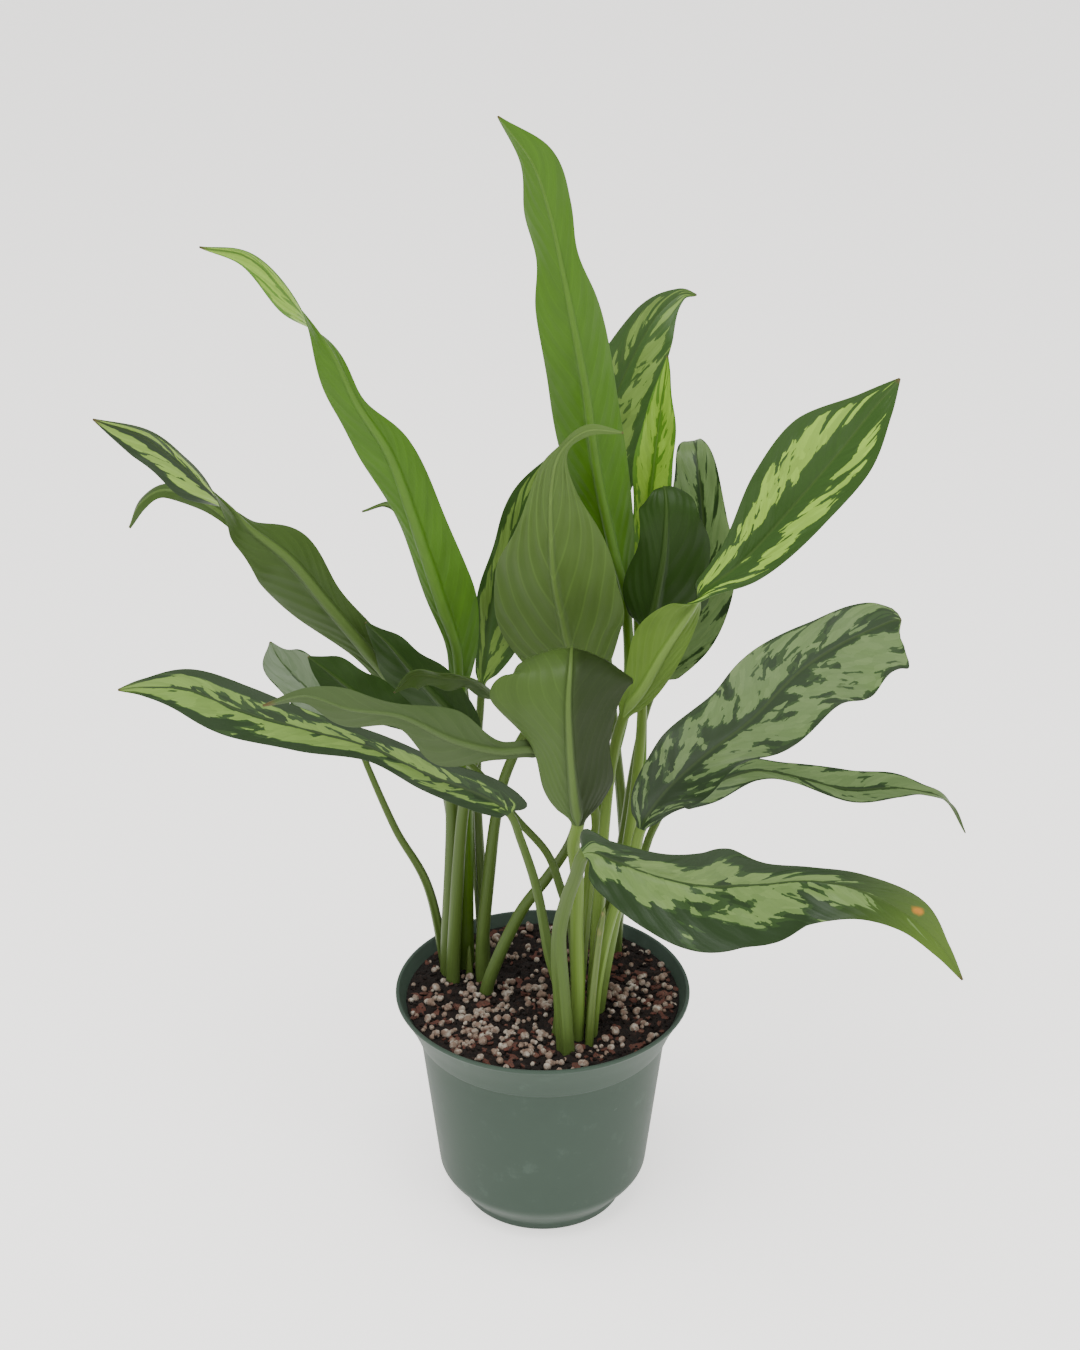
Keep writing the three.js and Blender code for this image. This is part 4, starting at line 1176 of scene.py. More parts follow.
# A blade's least half width, its thickness at the rim as a share of the rest and how far in
# it is reached, and how far a ripple moves the rim outwards as a share of its height.
LEAST_WIDTH = 0.4
RIM_SHARE = 0.55
RIM_WIDTH = 2.5
SCALLOP = 0.5

# A stalk ends this share of a row below its blade, its lower part with the margins of its
# sheath reaches this far up, and its blade grows from round to flat over so many mm.
STALK_SHORT = 0.12
SHEATHED = 0.45
GROWS_FLAT = 8

# Which finish a face of a leaf takes.
UPPER, UNDER, STALK = 0, 1, 2


def line_at(leaf, places):
    """Points and directions of the leaf's centre line at places counted in its rows."""
    line = leaf["stalk"] + [row[:3] for row in leaf.get("blade", [])]
    along = rows_at(line, places + 0.02) - rows_at(line, places - 0.02)
    return rows_at(line, places), unit(along)


def even_places(leaf, start, end, spacing, least):
    """Places from start to end about evenly far apart in mm, and how far along each one is."""
    fine = np.linspace(start, end, LENGTH_STEPS)
    points, _ = line_at(leaf, fine)
    run = np.concatenate([[0], np.cumsum(np.linalg.norm(np.diff(points, axis=0), axis=1))])
    count = max(least, int(round(run[-1] / spacing)) + 1)
    wanted = np.linspace(0, run[-1], count)
    return np.interp(wanted, run, fine), wanted


def carried_along(across, along):
    """A direction across, carried without a twist along the directions of a line."""
    carried = []
    for direction in along:
        across = square_to(across, direction)
        carried.append(across)
    return np.array(carried)


def blade_directions(leaf, places):
    """Point, direction along, across and up of the blade at each row place."""
    start, rows = len(leaf["stalk"]), len(leaf["blade"]) - 1
    _, along = line_at(leaf, start + rows * np.arange(FRAME_STEPS + 1) / FRAME_STEPS)
    carried = carried_along(np.cross(along[0], FRONT), along)
    at = places / rows * FRAME_STEPS
    i = np.minimum(at.astype(int), FRAME_STEPS - 1)
    f = (at - i)[:, None]
    point, along = line_at(leaf, start + places)
    flat = square_to(carried[i] * (1 - f) + carried[i + 1] * f, along)
    facing = np.cross(flat, along)
    turn = np.radians(rows_at(leaf["blade"], places)[:, 5:6])
    across = flat * np.cos(turn) + facing * np.sin(turn)
    up = facing * np.cos(turn) - flat * np.sin(turn)
    return point, along, across, up


def vein_run(leaf, q, length):
    """Where on the midrib, in mm, the side vein through a point starts. Each vein bows out
    and then runs up beside the rim. The seed shifts the count so that no two leaves match."""
    widest = max(max(row[3:5]) for row in leaf["blade"])
    climb = leaf.get("vein_climb", VEIN_CLIMB) * widest
    return length - climb * np.abs(q) * (0.7 + 0.3 * np.abs(q)) + SEED_SHIFT * leaf["seed"]


def blade_widths(leaf, places):
    """Widths of the left and the right half of a blade, in mm, at each row place."""
    return np.maximum(rows_at(leaf["blade"], places)[:, 3:5], LEAST_WIDTH)


def blade_sheet(leaf, places, length, q, relief):
    """The middle sheet of a blade: points for each ring and each share q of the half width,
    how far sideways they lie, the half widths, and the midrib's point and directions."""
    point, along, across, up = blade_directions(leaf, places)
    rows = len(leaf["blade"]) - 1
    part = (places / rows)[:, None]
    widths = blade_widths(leaf, places)
    side = np.sign(q)
    half = np.where(q > 0, widths[:, 1:2], widths[:, 0:1])
    reach = np.abs(q) * half
    lift = np.radians(leaf["fold"] + leaf["curl"] * np.abs(q) / 2)
    height, count, start = leaf["wave"]
    fade = np.minimum(1, np.minimum(4 * part, 3 * (1 - part)))
    ripple = height * fade * np.sin(
        2 * np.pi * (count * part + start + np.where(q > 0, 0.37, 0.0)))
    lobe = np.where(q > 0, leaf["lobe"][1], leaf["lobe"][0])
    back = lobe * np.maximum(0, 1 - part / 0.22) ** 1.5 * np.abs(q) ** 1.3
    # side veins and the soft quilting between them, kept off the midrib and the rim
    run = vein_run(leaf, q, length[:, None])
    clear = smooth((reach - 1.5) / 4) * smooth((half - reach) / 3) * smooth(part / 0.06)
    vein = np.cos(2 * np.pi * run / leaf.get("vein_pitch", VEIN_PITCH))
    quilt = -relief * clear * (smooth(0.5 + 0.5 * vein) - 0.35)
    soft = 0.45 * clear * np.sin(2 * np.pi * (length[:, None] / 31 + 0.37 * leaf["seed"])) \
        * np.sin(2 * np.pi * (side * reach / 27 + 0.23 * leaf["seed"]) + length[:, None] / 19)
    rise = reach * np.sin(lift) + q * q * ripple + quilt + soft
    out = side * (reach * np.cos(lift) + SCALLOP * q * q * ripple)
    sheet = (point[:, None] + across[:, None] * out[..., None]
             + up[:, None] * rise[..., None] - along[:, None] * back[..., None])
    return sheet, side * reach, half, (point, along, across)


def spokes(along, across, angle):
    """Directions from the middle of each ring of a stalk out to its points."""
    up = np.cross(across, along)
    return (across[:, None] * np.cos(angle)[None, :, None]
            + up[:, None] * np.sin(angle)[None, :, None])


def round_rings(point, along, across, radius, count, ridges):
    """Round rings across a stalk; ridges adds its groove and the margins of its sheath."""
    angle = np.pi * (1 - (np.arange(count) + 0.5) / (count / 2))
    to_groove = np.angle(np.exp(1j * (angle - np.pi / 2)))
    shape = np.ones((len(point), count))
    shape -= 0.13 * np.exp(-(to_groove / 0.42) ** 2)[None] * ridges[:, None]
    for margin in (-0.62, 0.62):
        shape += 0.12 * np.exp(-((to_groove - margin) / 0.2) ** 2)[None] * ridges[:, None]
    out = spokes(along, across, angle)
    return point[:, None] + out * (shape * radius[:, None])[..., None], angle


def stalk_rings(leaf, across, count, last):
    """Rings of a stalk from its foot up, with the angles of their points, how far up each
    ring is, and its radius."""
    places, length = even_places(leaf, 0, last, STALK_STEP, least=6)
    point, along = line_at(leaf, places)
    carried = carried_along(across, along[::-1])[::-1]
    part = length / length[-1]
    foot, top = leaf["radius"]
    sheathed = 1 - smooth((part - SHEATHED) / 0.14)
    radius = (foot + (top - foot) * part) * (1 + 0.06 * sheathed)
    ridges = 0.45 + 0.75 * sheathed
    rings, angle = round_rings(point, along, carried, radius, count, ridges)
    return rings, angle, length, radius


def blade_shares(widths, rib):
    """The shares of the half width at which each ring has its points: from the left rim in,
    round the midrib, and out to the right rim."""
    steps = int(np.clip(round(widths.max() / SIDE_STEP), *SIDE_STEPS))
    share = np.linspace(0, 1, steps + 1)[1:]
    q = []
    for (left, right), radius in zip(widths, rib):
        outer = []
        for width in (left, right):
            edge = max(0.6, 1 - EDGE_SUPPORT / width)
            start = radius / width
            outer.append(np.concatenate([start + (edge - start) * share, [1.0]]))
        q.append(np.concatenate([
            -outer[0][::-1], np.sin(LEFT_OF_RIB) * radius / left, [0.0],
            np.sin(RIGHT_OF_RIB) * radius / right, outer[1]]))
    return np.array(q)


def there_and_back(upper, lower):
    """One closed ring out of two faces: along the upper one, and back along the lower one."""
    return np.concatenate([upper, lower[:, ::-1]], axis=1)


def two_faces(sheet, sideways, half, rib, part, thickness):
    """The rings of a blade, with its two faces set off from its middle sheet: thinner at the
    rim, with a groove over the midrib and the midrib's round back below."""
    normal = unit(np.cross(np.gradient(sheet, axis=1), np.gradient(sheet, axis=0)))
    inside = smooth((half - np.abs(sideways)) / RIM_WIDTH)
    thick = thickness / 2 * (RIM_SHARE + (1 - RIM_SHARE) * inside)
    over = np.clip(1 - (sideways / rib) ** 2, 0, 1)
    bulge = rib * np.sqrt(over) * (0.95 - 0.25 * part)
    groove = 0.32 * rib * np.exp(-(sideways / (0.9 * rib)) ** 2)
    return there_and_back(sheet + normal * (thick - groove)[..., None],
                          sheet - normal * (thick + bulge)[..., None])


def tube_faces(rings, count):
    """Faces round a tube of rings, then across its first ring and across its last one."""
    faces = [face[::-1] for face in wall_faces(rings, count)]
    for first in (0, (rings - 1) * count):
        cap = [[first + k, first + k + 1, first + count - 2 - k, first + count - 1 - k]
               for k in range(count // 2 - 1)]
        faces += cap if first == 0 else [face[::-1] for face in cap]
    return faces


def map_pairs(sideways, along):
    """A map's two numbers at each point: its own one sideways, and its ring's one along."""
    return np.stack([sideways, np.repeat(along[:, None], sideways.shape[1], 1)], -1)


def leaf_mesh(leaf, look):
    """One leaf as rings from the foot of its stalk to its tip, with the maps and finishes."""
    base, rows = len(leaf["stalk"]), len(leaf["blade"]) - 1
    places, length = even_places(leaf, base, base + rows, look.ring / MM, least=30)
    places = places - base
    part = places / rows
    widths = blade_widths(leaf, places)
    top = leaf["radius"][1]
    # the midrib thins out from the stalk's top, and stays well inside a narrow blade
    rib = np.minimum(RIB_END + (top - RIB_END) * (1 - smooth(part * 1.15)) ** 0.8,
                     0.42 * widths.min(axis=1))
    q = blade_shares(widths, rib)
    sheet, sideways, half, (point, along, across) = blade_sheet(
        leaf, places, length, q, look.vein_height / MM * leaf.get("relief", 1.0))
    blade = two_faces(sheet, sideways, half, rib[:, None], part[:, None], look.thickness / MM)
    count = blade.shape[1]
    stem, _ = round_rings(point, along, across, np.full(len(places), top), count,
                          np.full(len(places), 0.45))
    grown = smooth((length + 1.5) / GROWS_FLAT)[:, None, None]
    blade = stem * (1 - grown) + blade * grown
    rings, angle, run, radius = stalk_rings(leaf, across[0], count, base - STALK_SHORT)
    points = np.concatenate([rings, blade]).reshape(-1, 3)
    around = np.repeat(angle[None], len(rings), 0)
    blade_q = there_and_back(q, q)
    metres = np.concatenate([
        map_pairs(around * radius[:, None], run - run[-1]),
        map_pairs(there_and_back(sideways, sideways), length)]).reshape(-1, 2) * MM
    shares = np.concatenate([map_pairs(around / np.pi, run / run[-1] - 1),
                             map_pairs(blade_q, part)]).reshape(-1, 2)
    veins = metres.copy()
    veins[len(rings) * count:, 1] = MM * vein_run(leaf, blade_q, length[:, None]).ravel()
    total = len(rings) + len(places)
    cap = count // 2 - 1
    finish = np.tile(np.where(np.arange(count) < cap, UPPER, UNDER), total - 1)
    finish[:len(rings) * count] = STALK
    finish = finish.tolist() + [STALK] * cap + [UNDER] * cap
    maps = {"metres": metres, "shares": shares, "veins": veins}
    return points, tube_faces(total, count), maps, finish


def dress(piece, maps, finish, materials):
    """Puts the maps and the finishes on a leaf."""
    mesh = piece.data
    corners = np.zeros(len(mesh.loops), int)
    mesh.loops.foreach_get("vertex_index", corners)
    for name, values in maps.items():
        layer = mesh.uv_layers.new(name="blade_" + name)
        layer.data.foreach_set("uv", values[corners].astype(np.float32).ravel())
    for material in materials:
        mesh.materials.append(material)
    if len(finish) != len(mesh.polygons):
        raise RuntimeError(f"{piece.name} lost faces")
    mesh.polygons.foreach_set("material_index", finish)


# ------------------------------------------------------------------ leaf finishes

def leaf_maps(add):
    """Sockets for the place on a leaf: sideways and along in metres, both as shares, and
    the vein map, whose second number is where on the midrib the vein through here starts."""
    metres = add("UVMap", uv_map="blade_metres")
    veins = add("UVMap", uv_map="blade_veins")
    real = add("SeparateXYZ", metres).node.outputs
    share = add("SeparateXYZ", add("UVMap", uv_map="blade_shares")).node.outputs
    return metres, veins, real[0], real[1], share[0], share[1]


def stretched(add, across, along, wide, long, *apart):
    """A place for a texture with features so many mm wide across and long along the leaf.
    A third number keeps the two halves apart."""
    return add("CombineXYZ", add("Math", across, wide * MM, operation="DIVIDE"),
               add("Math", along, long * MM, operation="DIVIDE"), *apart)


def blotched_face(name, look, kind):
    """The living upper face of a full-grown Aglaonema leaf: a thin wax over dark green, with
    pale patches where the cells hold little green. The patches follow the side veins, in
    blocks of about 4 mm by 6 mm that join into blotches, with crisp, feathered ends. The wax
    gives a satin gloss, with faint ribs 4 mm apart."""
    material = blank_material(name)
    add = partial(add_node, material.node_tree)
    metres, veins, sideways, _, q, part = leaf_maps(add)
    frayed = add("TexNoise", {
        "Vector": veins, "Scale": 1 / (1.7 * MM), "Detail": 2.0, "Roughness": 0.6})
    shift = add("Math", frayed, 4.4 * MM, -2.2 * MM, operation="MULTIPLY_ADD")
    away = add("Math", sideways, operation="ABSOLUTE")
    vein = add("Math", add("SeparateXYZ", veins, out=1), shift, operation="ADD")
    half = add("Math", sideways, operation="SIGN")
    block = stretched(add, away, vein, 3.6, 5.6, add("Math", half, 7.3, operation="MULTIPLY"))
    blocks = add("SeparateColor", add("TexVoronoi", {"Vector": block, "Scale": 1.0},
                                      out="Color")).node.outputs
    broad = add("TexNoise", {
        "Vector": stretched(add, away, vein, *kind["blotch"],
                            add("Math", half, 3.1, operation="MULTIPLY")),
        "Scale": 1.0, "Detail": 2.0, "Roughness": 0.5})
    outward = add("Math", q, operation="ABSOLUTE")
    zone = kind["zone"]
    band = add("Math",
               add("MapRange", outward, zone[0], zone[1], interpolation_type="SMOOTHSTEP"),
               add("MapRange", outward, zone[3], zone[2], interpolation_type="SMOOTHSTEP"),
               operation="MULTIPLY")
    blocky, broadly = kind["weights"]
    score = add("Math", blocks[0], blocky, add("Math", broad, broadly, operation="MULTIPLY"),
                operation="MULTIPLY_ADD")
    score = add("Math", band, 0.7, score, operation="MULTIPLY_ADD")
    fading = add("MapRange", part, *kind["fading"], interpolation_type="SMOOTHSTEP")
    score = add("Math", fading, -0.5, score, operation="MULTIPLY_ADD")
    cut = kind["cut"]
    patch = add("MapRange", score, cut - 0.012, cut + 0.012, interpolation_type="SMOOTHSTEP")
    halo = add("MapRange", score, cut - 0.16, cut - 0.13, interpolation_type="SMOOTHSTEP")
    streaks = add("TexNoise", {
        "Vector": stretched(add, away, vein, 8, 2.2), "Scale": 1.0, "Detail": 3.0})
    tone = add("Math", streaks, 0.3, 0.85, operation="MULTIPLY_ADD")
    dark, middle, pale = kind["greens"]
    mixed = add("Mix", {0: add("Math", blocks[1], 0.3, operation="MULTIPLY"),
                        6: opaque(pale), 7: opaque(middle)}, out=2, data_type="RGBA")
    base = add("Mix", {0: add("Math", halo, kind["halo"], operation="MULTIPLY"),
                       6: opaque(dark), 7: opaque(middle)}, out=2, data_type="RGBA")
    fresh = add("MapRange", part, *kind["fresh"], interpolation_type="SMOOTHSTEP")
    base = add("Mix", {0: fresh, 6: base, 7: opaque(look.tip_green)}, out=2, data_type="RGBA")
    base = add("Mix", {0: patch, 6: base, 7: mixed}, out=2, data_type="RGBA")
    rib = add("MapRange", away, 1.0 * MM, 0.25 * MM, interpolation_type="SMOOTHSTEP")
    base = add("Mix", {0: add("Math", rib, 0.25, operation="MULTIPLY"), 6: base,
                       7: opaque(look.stalk)}, out=2, data_type="RGBA")
    base = add("HueSaturation", {"Value": tone, "Color": base})
    base = dried_tip(add, base, part, look.tip, kind["dry"])
    if "spot" in kind:
        base = rust_spot(add, base, metres, look.rust, kind["spot"])
    ribs = add("Math", add("Math", vein, 2 * math.pi / (4 * MM), operation="MULTIPLY"),
               operation="SINE")
    height = add("Math", ribs, 0.5, streaks, operation="MULTIPLY_ADD")
    bump = add("Bump", {"Strength": 0.22, "Distance": 0.12 * MM, "Height": height})
    rough = add("Math", streaks, 0.2, kind["rough"], operation="MULTIPLY_ADD")
    shader = add("BsdfPrincipled", {
        "Base Color": base, "Roughness": rough, "IOR": 1.42, "Specular IOR Level": 0.3,
        "Normal": bump})
    add("OutputMaterial", {"Surface": shader})
    return material


def dried_tip(add, base, part, brown, start):
    """The colour with its last share, from start on, dried to brown."""
    dry = add("MapRange", part, start, min(1.0, start + 0.04), interpolation_type="SMOOTHSTEP")
    return add("Mix", {0: dry, 6: base, 7: opaque(brown)}, out=2, data_type="RGBA")


def rust_spot(add, base, metres, rust, spot):
    """The colour with one rusty fleck: sideways and along in mm, and its radius."""
    sideways, along, radius = spot
    ragged = add("TexNoise", {"Vector": metres, "Scale": 1 / (3 * MM), "Detail": 3.0})
    gap = add("VectorMath", metres, (sideways * MM, along * MM, 0), operation="DISTANCE",
              out="Value")
    gap = add("Math", ragged, 3 * MM, gap, operation="MULTIPLY_ADD")
    reach = (radius + 1.5) * MM
    fleck = add("MapRange", gap, reach + 1.2 * MM, reach - 1.5 * MM,
                interpolation_type="SMOOTHSTEP")
    return add("Mix", {0: fleck, 6: base, 7: opaque(rust)}, out=2, data_type="RGBA")


def plain_face(name, look, kind):
    """The underside of the leaf: the same green seen through paler tissue with little wax.
    Its side veins stand out as faint lighter lines, 13 mm apart or 24 mm on the widest leaf,
    and the midrib is pale."""
    material = blank_material(name)
    add = partial(add_node, material.node_tree)
    _, veins, sideways, _, _, part = leaf_maps(add)
    away = add("Math", sideways, operation="ABSOLUTE")
    vein = add("SeparateXYZ", veins, out=1)
    clouds = add("TexNoise", {
        "Vector": stretched(add, away, vein, 10, 16, add("Math", sideways, operation="SIGN")),
        "Scale": 1.0, "Detail": 3.0})
    streaks = add("TexNoise", {
        "Vector": stretched(add, away, vein, 8, 0.16 * kind["pitch"]),
        "Scale": 1.0, "Detail": 2.0})
    mottle = kind["mottle"]
    tone = add("Math", clouds, 2 * mottle, 1 - mottle, operation="MULTIPLY_ADD")
    tone = add("Math", tone, add("Math", streaks, 0.16, 0.92, operation="MULTIPLY_ADD"),
               operation="MULTIPLY")
    line = add("Math", add("Math", vein, 2 * math.pi / (kind["pitch"] * MM),
                           operation="MULTIPLY"), operation="COSINE")
    line = add("MapRange", line, 0.88, 1.0, interpolation_type="SMOOTHSTEP")
    tone = add("Math", tone, add("Math", line, kind["veins"], 1.0, operation="MULTIPLY_ADD"),
               operation="MULTIPLY")
    # painted shade: the table's left half of the underside is darkened to a set share of its
    # tone, standing for the shade in the fold of the blade
    painted_shade_side = add("MapRange", sideways, 6 * MM, -6 * MM, interpolation_type="SMOOTHSTEP")
    tone = add("Math", tone, add("Math", painted_shade_side, kind["painted_fold_shade"] - 1, 1.0,
                                 operation="MULTIPLY_ADD"), operation="MULTIPLY")
    base = add("HueSaturation", {"Value": tone, "Color": opaque(kind["green"])})
    thin = kind["rib_width"] * MM
    width = add("Math", part, -0.85 * thin, thin, operation="MULTIPLY_ADD")
    rib = add("MapRange", add("Math", away, width, operation="DIVIDE"), 1.2, 0.4,
              interpolation_type="SMOOTHSTEP")
    base = add("Mix", {0: add("Math", rib, kind["rib"], operation="MULTIPLY"), 6: base,
                       7: opaque(look.rib)}, out=2, data_type="RGBA")
    base = dried_tip(add, base, part, look.tip, kind["dry"])
    height = add("Math", line, 0.6, streaks, operation="MULTIPLY_ADD")
    bump = add("Bump", {"Strength": 0.25, "Distance": 0.12 * MM, "Height": height})
    rough = add("Math", clouds, 0.16, kind["rough"], operation="MULTIPLY_ADD")
    shader = add("BsdfPrincipled", {
        "Base Color": base, "Roughness": rough, "IOR": 1.42, "Specular IOR Level": 0.25,
        "Normal": bump})
    add("OutputMaterial", {"Surface": shader})
    return material


def fleshy_stalk(name, look, green):
    """A juicy leaf stalk with a smooth skin: strands of about 0.7 mm run along it, and it
    pales in blotches towards its foot."""
    material = blank_material(name)
    add = partial(add_node, material.node_tree)
    metres, _, around, along, _, part = leaf_maps(add)
    strands = add("TexNoise", {
        "Vector": stretched(add, around, along, 0.7, 45), "Scale": 1.0, "Detail": 3.0})
    blotches = add("TexNoise", {
        "Vector": metres, "Scale": 1 / (13 * MM), "Detail": 3.0})
    low = add("MapRange", part, -0.58, -0.98, interpolation_type="SMOOTHSTEP")
    low = add("Math", low, add("Math", blotches, 0.9, 0.3, operation="MULTIPLY_ADD"),
              operation="MULTIPLY", use_clamp=True)
    base = add("Mix", {0: low, 6: opaque(green), 7: opaque(look.stalk_foot)},
               out=2, data_type="RGBA")
    tone = add("Math", strands, 0.5, 0.75, operation="MULTIPLY_ADD")
    base = add("HueSaturation", {"Value": tone, "Color": base})
    bump = add("Bump", {
        "Strength": 0.3, "Distance": 0.1 * MM, "Height": strands})
    shader = add("BsdfPrincipled", {
        "Base Color": base, "Roughness": 0.48, "IOR": 1.42, "Specular IOR Level": 0.25,
        "Normal": bump})
    add("OutputMaterial", {"Surface": shader})
    return material


def leaf_finishes(look):
    """Upper face, underside and stalk for each kind of leaf in the table. "cut" sets how
    much of a face stays dark, "zone" the shares of the half width between which patches lie,
    "fading" and "fresh" the shares of the length where patches end and the green turns
    yellow, and "dry" where the tip has dried."""
    grown = (look.dark, look.middle, look.pale)
    # greens of the leaves in shade, whose greyer patches are painted shade and painted sheen
    shaded = (look.dark, look.middle, look.pale_grey_shade_and_sheen)
    fresh = (look.young, look.under_young, look.young_pale)
    plain = {"greens": grown, "cut": 1.74, "zone": (0.12, 0.3, 0.6, 0.9), "blotch": (11, 20),
             "weights": (0.45, 1.9), "fading": (1.2, 1.3), "fresh": (1.2, 1.3), "halo": 0.4,
             "dry": 0.975, "rough": 0.34}
    upper = {
        "bold": blotched_face("waxy_leaf_bold_patches", look, plain),
        "streaked": blotched_face("waxy_leaf_streaked", look, {
            **plain, "greens": (look.dark, look.middle, look.pale_low), "cut": 1.72,
            "zone": (0.0, 0.1, 0.5, 0.8), "blotch": (9, 26), "fading": (0.4, -0.2),
            "fresh": (0.85, 1.05)}),
        "broad": blotched_face("waxy_leaf_broad_patch", look, {
            **plain, "cut": 1.8, "zone": (0.0, 0.04, 0.35, 0.78), "blotch": (13, 20),
            "weights": (0.45, 2.15), "fading": (0.55, 0.84), "fresh": (0.62, 0.92),
            "greens": (look.dark, look.middle, look.pale_dull), "spot": (-5, 165, 2.2)}),
        "grey": blotched_face("waxy_leaf_grey_patches", look, {
            **plain, "greens": shaded, "cut": 1.85, "zone": (0.0, 0.22, 0.85, 1.1),
            "blotch": (10, 15), "weights": (0.45, 2.2), "fading": (0.5, -0.15)}),
        "grey_broad": blotched_face("waxy_leaf_mostly_grey", look, {
            **plain, "greens": shaded, "cut": 1.62, "zone": (0.0, 0.2, 0.8, 1.05),
            "blotch": (10, 22), "weights": (0.42, 2.0), "fresh": (0.8, 1.0)}),
        "dusty": blotched_face("waxy_leaf_dusty", look, {
            **plain, "greens": (look.dark, look.middle, look.pale_dusty), "cut": 1.3,
            "zone": (0.0, 0.1, 0.85, 1.05)}),
        "green": blotched_face("waxy_leaf_all_green", look, {
            **plain, "greens": (look.under, look.under_centre, look.pale), "cut": 2.9,
            "rough": 0.3}),
        "young": blotched_face("waxy_young_leaf", look, {
            **plain, "greens": fresh, "cut": 1.5, "zone": (0.05, 0.2, 0.7, 0.95),
            "blotch": (5, 9), "weights": (0.7, 1.5), "halo": 0.2}),
        "vivid": blotched_face("waxy_leaf_vivid_patches", look, {
            **plain, "greens": (look.dark_vivid, look.middle, look.pale_vivid), "cut": 1.66,
            "zone": (0.18, 0.42, 0.62, 0.88), "blotch": (8, 14), "fading": (0.78, 0.96)}),
        "round": blotched_face("waxy_leaf_round_patches", look, {
            **plain, "greens": shaded, "cut": 1.74, "zone": (0.0, 0.2, 0.85, 1.1),
            "blotch": (8, 9), "weights": (0.35, 2.3), "fresh": (0.8, 1.0)}),
        "back": blotched_face("waxy_leaf_back_patches", look, {
            **plain, "greens": (look.middle, look.under_centre, look.pale_low), "cut": 1.8,
            "zone": (0.05, 0.25, 0.6, 0.92), "blotch": (8, 14)}),
    }
    dull = {"green": look.under, "rough": 0.44, "mottle": 0.12, "veins": 0.08, "rib": 0.22,
            "rib_width": 2.0, "painted_fold_shade": 1.0, "pitch": VEIN_PITCH, "dry": 0.99}
    under = {
        "plain": plain_face("leaf_underside", look, dull),
        # painted shade: the table's left half of this underside is darkened to a third of its
        # tone, for the shade in its fold
        "ribbed": plain_face("leaf_underside_ribbed", look, {
            **dull, "green": look.under_centre, "rib": 0.27, "rib_width": 1.7,
            "painted_fold_shade": 0.33, "veins": 0.1}),
        "veined": plain_face("leaf_underside_veined", look, {
            **dull, "green": look.under_veined, "veins": 0.22, "rib_width": 1.4,
            "pitch": WIDE_PITCH}),
        # undersides of the leaves in shade: painted shade
        "dark": plain_face("leaf_underside_painted_shade", look, {
            **dull, "green": look.under_painted_shade, "rib": 0.07}),
        # the underside with light behind it: painted light
        "fresh": plain_face("leaf_underside_painted_backlight", look, {
            **dull, "green": look.under_painted_backlight, "rib": 0.6}),
        "young": plain_face("young_leaf_underside", look, {
            **dull, "green": look.under_young, "mottle": 0.24, "rib": 0.13, "rough": 0.42}),
        "browned": plain_face("leaf_underside_browned", look, {
            **dull, "green": look.under_grey, "mottle": 0.06, "rib": 0.1, "dry": 0.94}),
    }
    stalks = {
        "plain": fleshy_stalk("fleshy_stalk", look, look.stalk),
        # the stalks in the light at the front: painted light
        "fresh": fleshy_stalk("fleshy_stalk_painted_light", look, look.stalk_painted_light),
        "young": fleshy_stalk("fleshy_young_stalk", look, look.young_stalk),
    }
    return upper, under, stalks


# ------------------------------------------------------------------ sheaths

def sheath_mesh(sheath, count=40, step=1.0):
    """A young sheath: a stub whose end narrows to a blunt or pointed tip, rolled on itself."""
    places, length = even_places(sheath, 0, len(sheath["stalk"]) - 1, step, least=20)
    point, along = line_at(sheath, places)
    across = square_to(np.tile([1.0, 0.0, 0.0], (len(places), 1)), along)
    part = length / length[-1]
    foot, top = sheath["radius"]
    radius = foot + (top - foot) * part
    tip = np.sqrt(np.clip((1 - part) / (0.06 + 0.1 * sheath["blunt"]), 0.004, 1))
    radius = radius * np.minimum(1, tip)
    rings, angle = round_rings(point, along, across, radius, count, np.full(len(places), 1.2))
    # the outer margin of the roll stands a little proud all the way up
    rolled = np.exp(-((np.angle(np.exp(1j * (angle + 2.2)))) / 0.13) ** 2)
    proud = 0.14 * rolled[None] * radius[:, None]
    rings = rings + spokes(along, across, angle) * proud[..., None]
    around = np.repeat(angle[None], len(rings), 0)
    metres = map_pairs(around * radius[:, None], length).reshape(-1, 2) * MM
    shares = map_pairs(around / np.pi, part).reshape(-1, 2)
    maps = {"metres": metres, "shares": shares, "veins": metres}
    return rings.reshape(-1, 3), tube_faces(len(rings), count), maps


